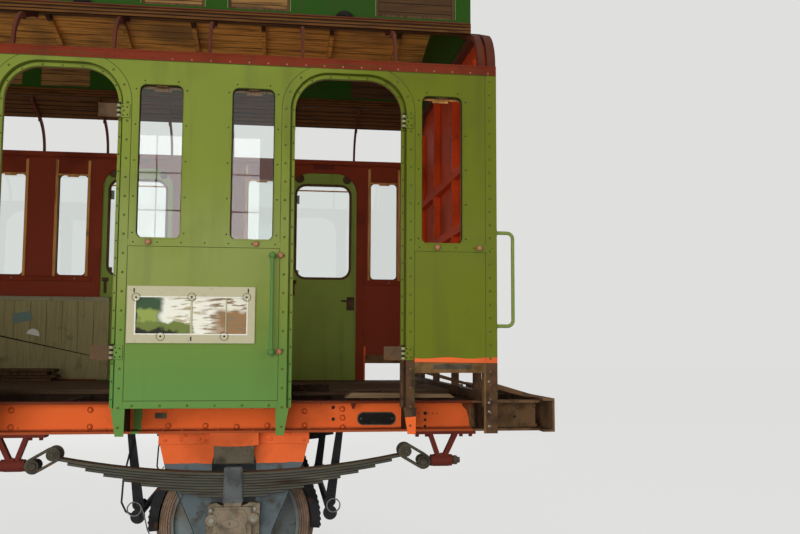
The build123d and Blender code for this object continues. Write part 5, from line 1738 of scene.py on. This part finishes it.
def studio():
    """A pale floor and soft light."""
    floor = bmesh.new()
    bmesh.ops.create_grid(floor, x_segments=1, y_segments=1, size=60.0)
    mesh = bpy.data.meshes.new("floor")
    floor.to_mesh(mesh)
    floor.free()
    coat = Finish("studio_floor", (0.20, 0.20, 0.195), 0.9, specular=0.0)
    material = coat.done()
    coat.shader.inputs["Emission Color"].default_value = (1.0, 1.0, 0.985, 1.0)
    lift = coat.times(seen_directly(coat.tree), 0.66)
    coat.plug(coat.shader.inputs["Emission Strength"], lift)
    mesh.materials.append(material)
    added("floor", mesh)

    area_lamp("key", (-1.0, -10.0, 2.2), (2.2, 0.0, 1.9), 8.0, 3.4, 395)
    area_lamp("inside", (0.0, 0.0, 1.75), (0.0, 0.0, 4.0), 7.4, 1.6, 16)
    area_lamp("low", (1.0, -9.0, 0.75), (2.2, 0.0, 0.9), 8.0, 1.0, 170)
    area_lamp("back", (0.0, 12.0, 3.2), (0.0, 0.0, 1.9), 9.0, 4.0, 210)
    area_lamp("left", (-11.0, -2.0, 3.6), (-2.0, 0.0, 2.0), 4.0, 4.0, 90)
    area_lamp("fill", (9.0, -6.0, 4.0), (2.5, 0.0, 2.2), 4.0, 4.0, 105)
    # A bank of tall panels, which the side windows reflect
    bank_y = -8.0
    for left, right in ((0.97, 1.31), (1.33, 1.68), (1.95, 2.27), (2.29, 2.64)):
        for low, high in ((2.93, 3.36), (3.38, 3.85), (3.87, 4.35)):
            middle = ((left + right) / 2, bank_y, (low + high) / 2)
            area_lamp("window_bank", middle, (middle[0], 0.0, middle[2]), right - left, high - low, 3.0,
                      reflected=True)

    world = bpy.data.worlds.new("studio")
    bpy.context.scene.world = world
    world.use_nodes = True
    tree = world.node_tree
    shown = tree.nodes["Background"]
    shown.inputs["Color"].default_value = (0.74, 0.74, 0.73, 1.0)
    light = tree.nodes.new("ShaderNodeBackground")
    light.inputs["Color"].default_value = (0.97, 0.99, 1.0, 1.0)
    light.inputs["Strength"].default_value = 0.36
    mix = tree.nodes.new("ShaderNodeMixShader")
    tree.links.new(seen_directly(tree), mix.inputs[0])
    tree.links.new(light.outputs[0], mix.inputs[1])
    tree.links.new(shown.outputs[0], mix.inputs[2])
    tree.links.new(mix.outputs[0], tree.nodes["World Output"].inputs["Surface"])


def paint_frame(coat):
    """Gives every CAD node its finish."""
    node_finishes = {
        "body": ("near_wall", "far_wall", "near_door_frames", "far_door_frames"),
        "solebar": ("solebars",),
        "rusted": ("headstocks", "keep_bars", "end_braces"),
        "bare": ("bare_frame",),
        "dark_steel": ("cross_members", "stringers", "side_brackets"),
        "guard": ("axle_guards",),
        "box_iron": ("axle_boxes",),
        "buckle": ("spring_buckles",),
        "spring": ("springs",),
        "shackle": ("spring_shackles",),
        "stop": ("bump_stops",),
        "red": ("spring_brackets",),
        "axle": ("left_axle", "right_axle"),
        "wheel": ("left_wheel_discs", "right_wheel_discs"),
        "tyre": ("left_tyres", "right_tyres"),
        "brake_iron": ("brake_blocks",),
        "brake_black": ("brake_hangers", "brake_beams"),
        "cantrail": ("cantrails",),
        "rib": ("roof_ribs",),
        "inner": ("end_wall_posts", "end_wall_rails", "end_wall_panels", "end_middle_sheets"),
        "glass": ("window_panes", *(f"far_door_pane_{i}" for i in range(1, 6))),
        "sill": ("clerestory_sills", "roof_edge_boards"),
        "roof": ("clerestory_carlines", "clerestory_roof"),
        "shutter": ("clerestory_shutters",),
        "floor": ("floor_boards",),
        "dado": ("dado_boards",),
        "clerestory": ("clerestory_walls", "clerestory_rails", "clerestory_ends"),
        "vent": ("ventilators",),
        "cream": ("sign_board",),
        "rail_green": ("handrails", "handrail_stubs"),
        "hinge": ("hinge_leaves",),
        "door": tuple(f"far_door_{i}" for i in range(1, 6)),
    }
    done = set()
    for name, nodes in node_finishes.items():
        for node in nodes:
            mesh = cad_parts[node].data
            mesh.materials.clear()
            mesh.materials.append(coat[name])
            done.add(node)
    left = sorted(set(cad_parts) - done)
    assert not left, left


coat = finishes()
paint_frame(coat)
door_surrounds(coat["body"])
surround_fixings(coat["rivet"], coat["screw_and_shade"])
window_fittings(coat["body"], coat["gasket_and_shadow"], coat["timber"], coat["screw_and_shade"])
wall_trim(coat["body"], coat["rivet"], coat["screw_and_shade"], coat["copper"])
seams(coat["seam"])
bare_corner(coat["orange"], coat["shackle"], coat["bolt"])
cantrail_trim(coat["cantrail"], coat["pale_rivet"])
grab_handles(coat["handle"], coat["rail_green"], coat["copper"])
sign(coat["cream"], coat["rim"], coat["painted_reflection"], coat["screw_and_shade"])
hinge_fittings(coat["body"], coat["knuckle"], coat["screw_and_shade"])
inside_trim(coat)
far_door_fittings(coat)
dado(coat)
floor_bits(coat)
floor_nails(coat["screw_and_shade"])
solebar_fittings(coat)
guard_fittings(coat)
axle_box_fittings(coat)
spring_fittings(coat)
stop_fittings(coat)
brake_fittings(coat)
wheel_fittings(coat)
roof_fittings(coat)
end_fittings(coat)
camera()
studio()
bpy.context.scene.view_settings.view_transform = "Standard"
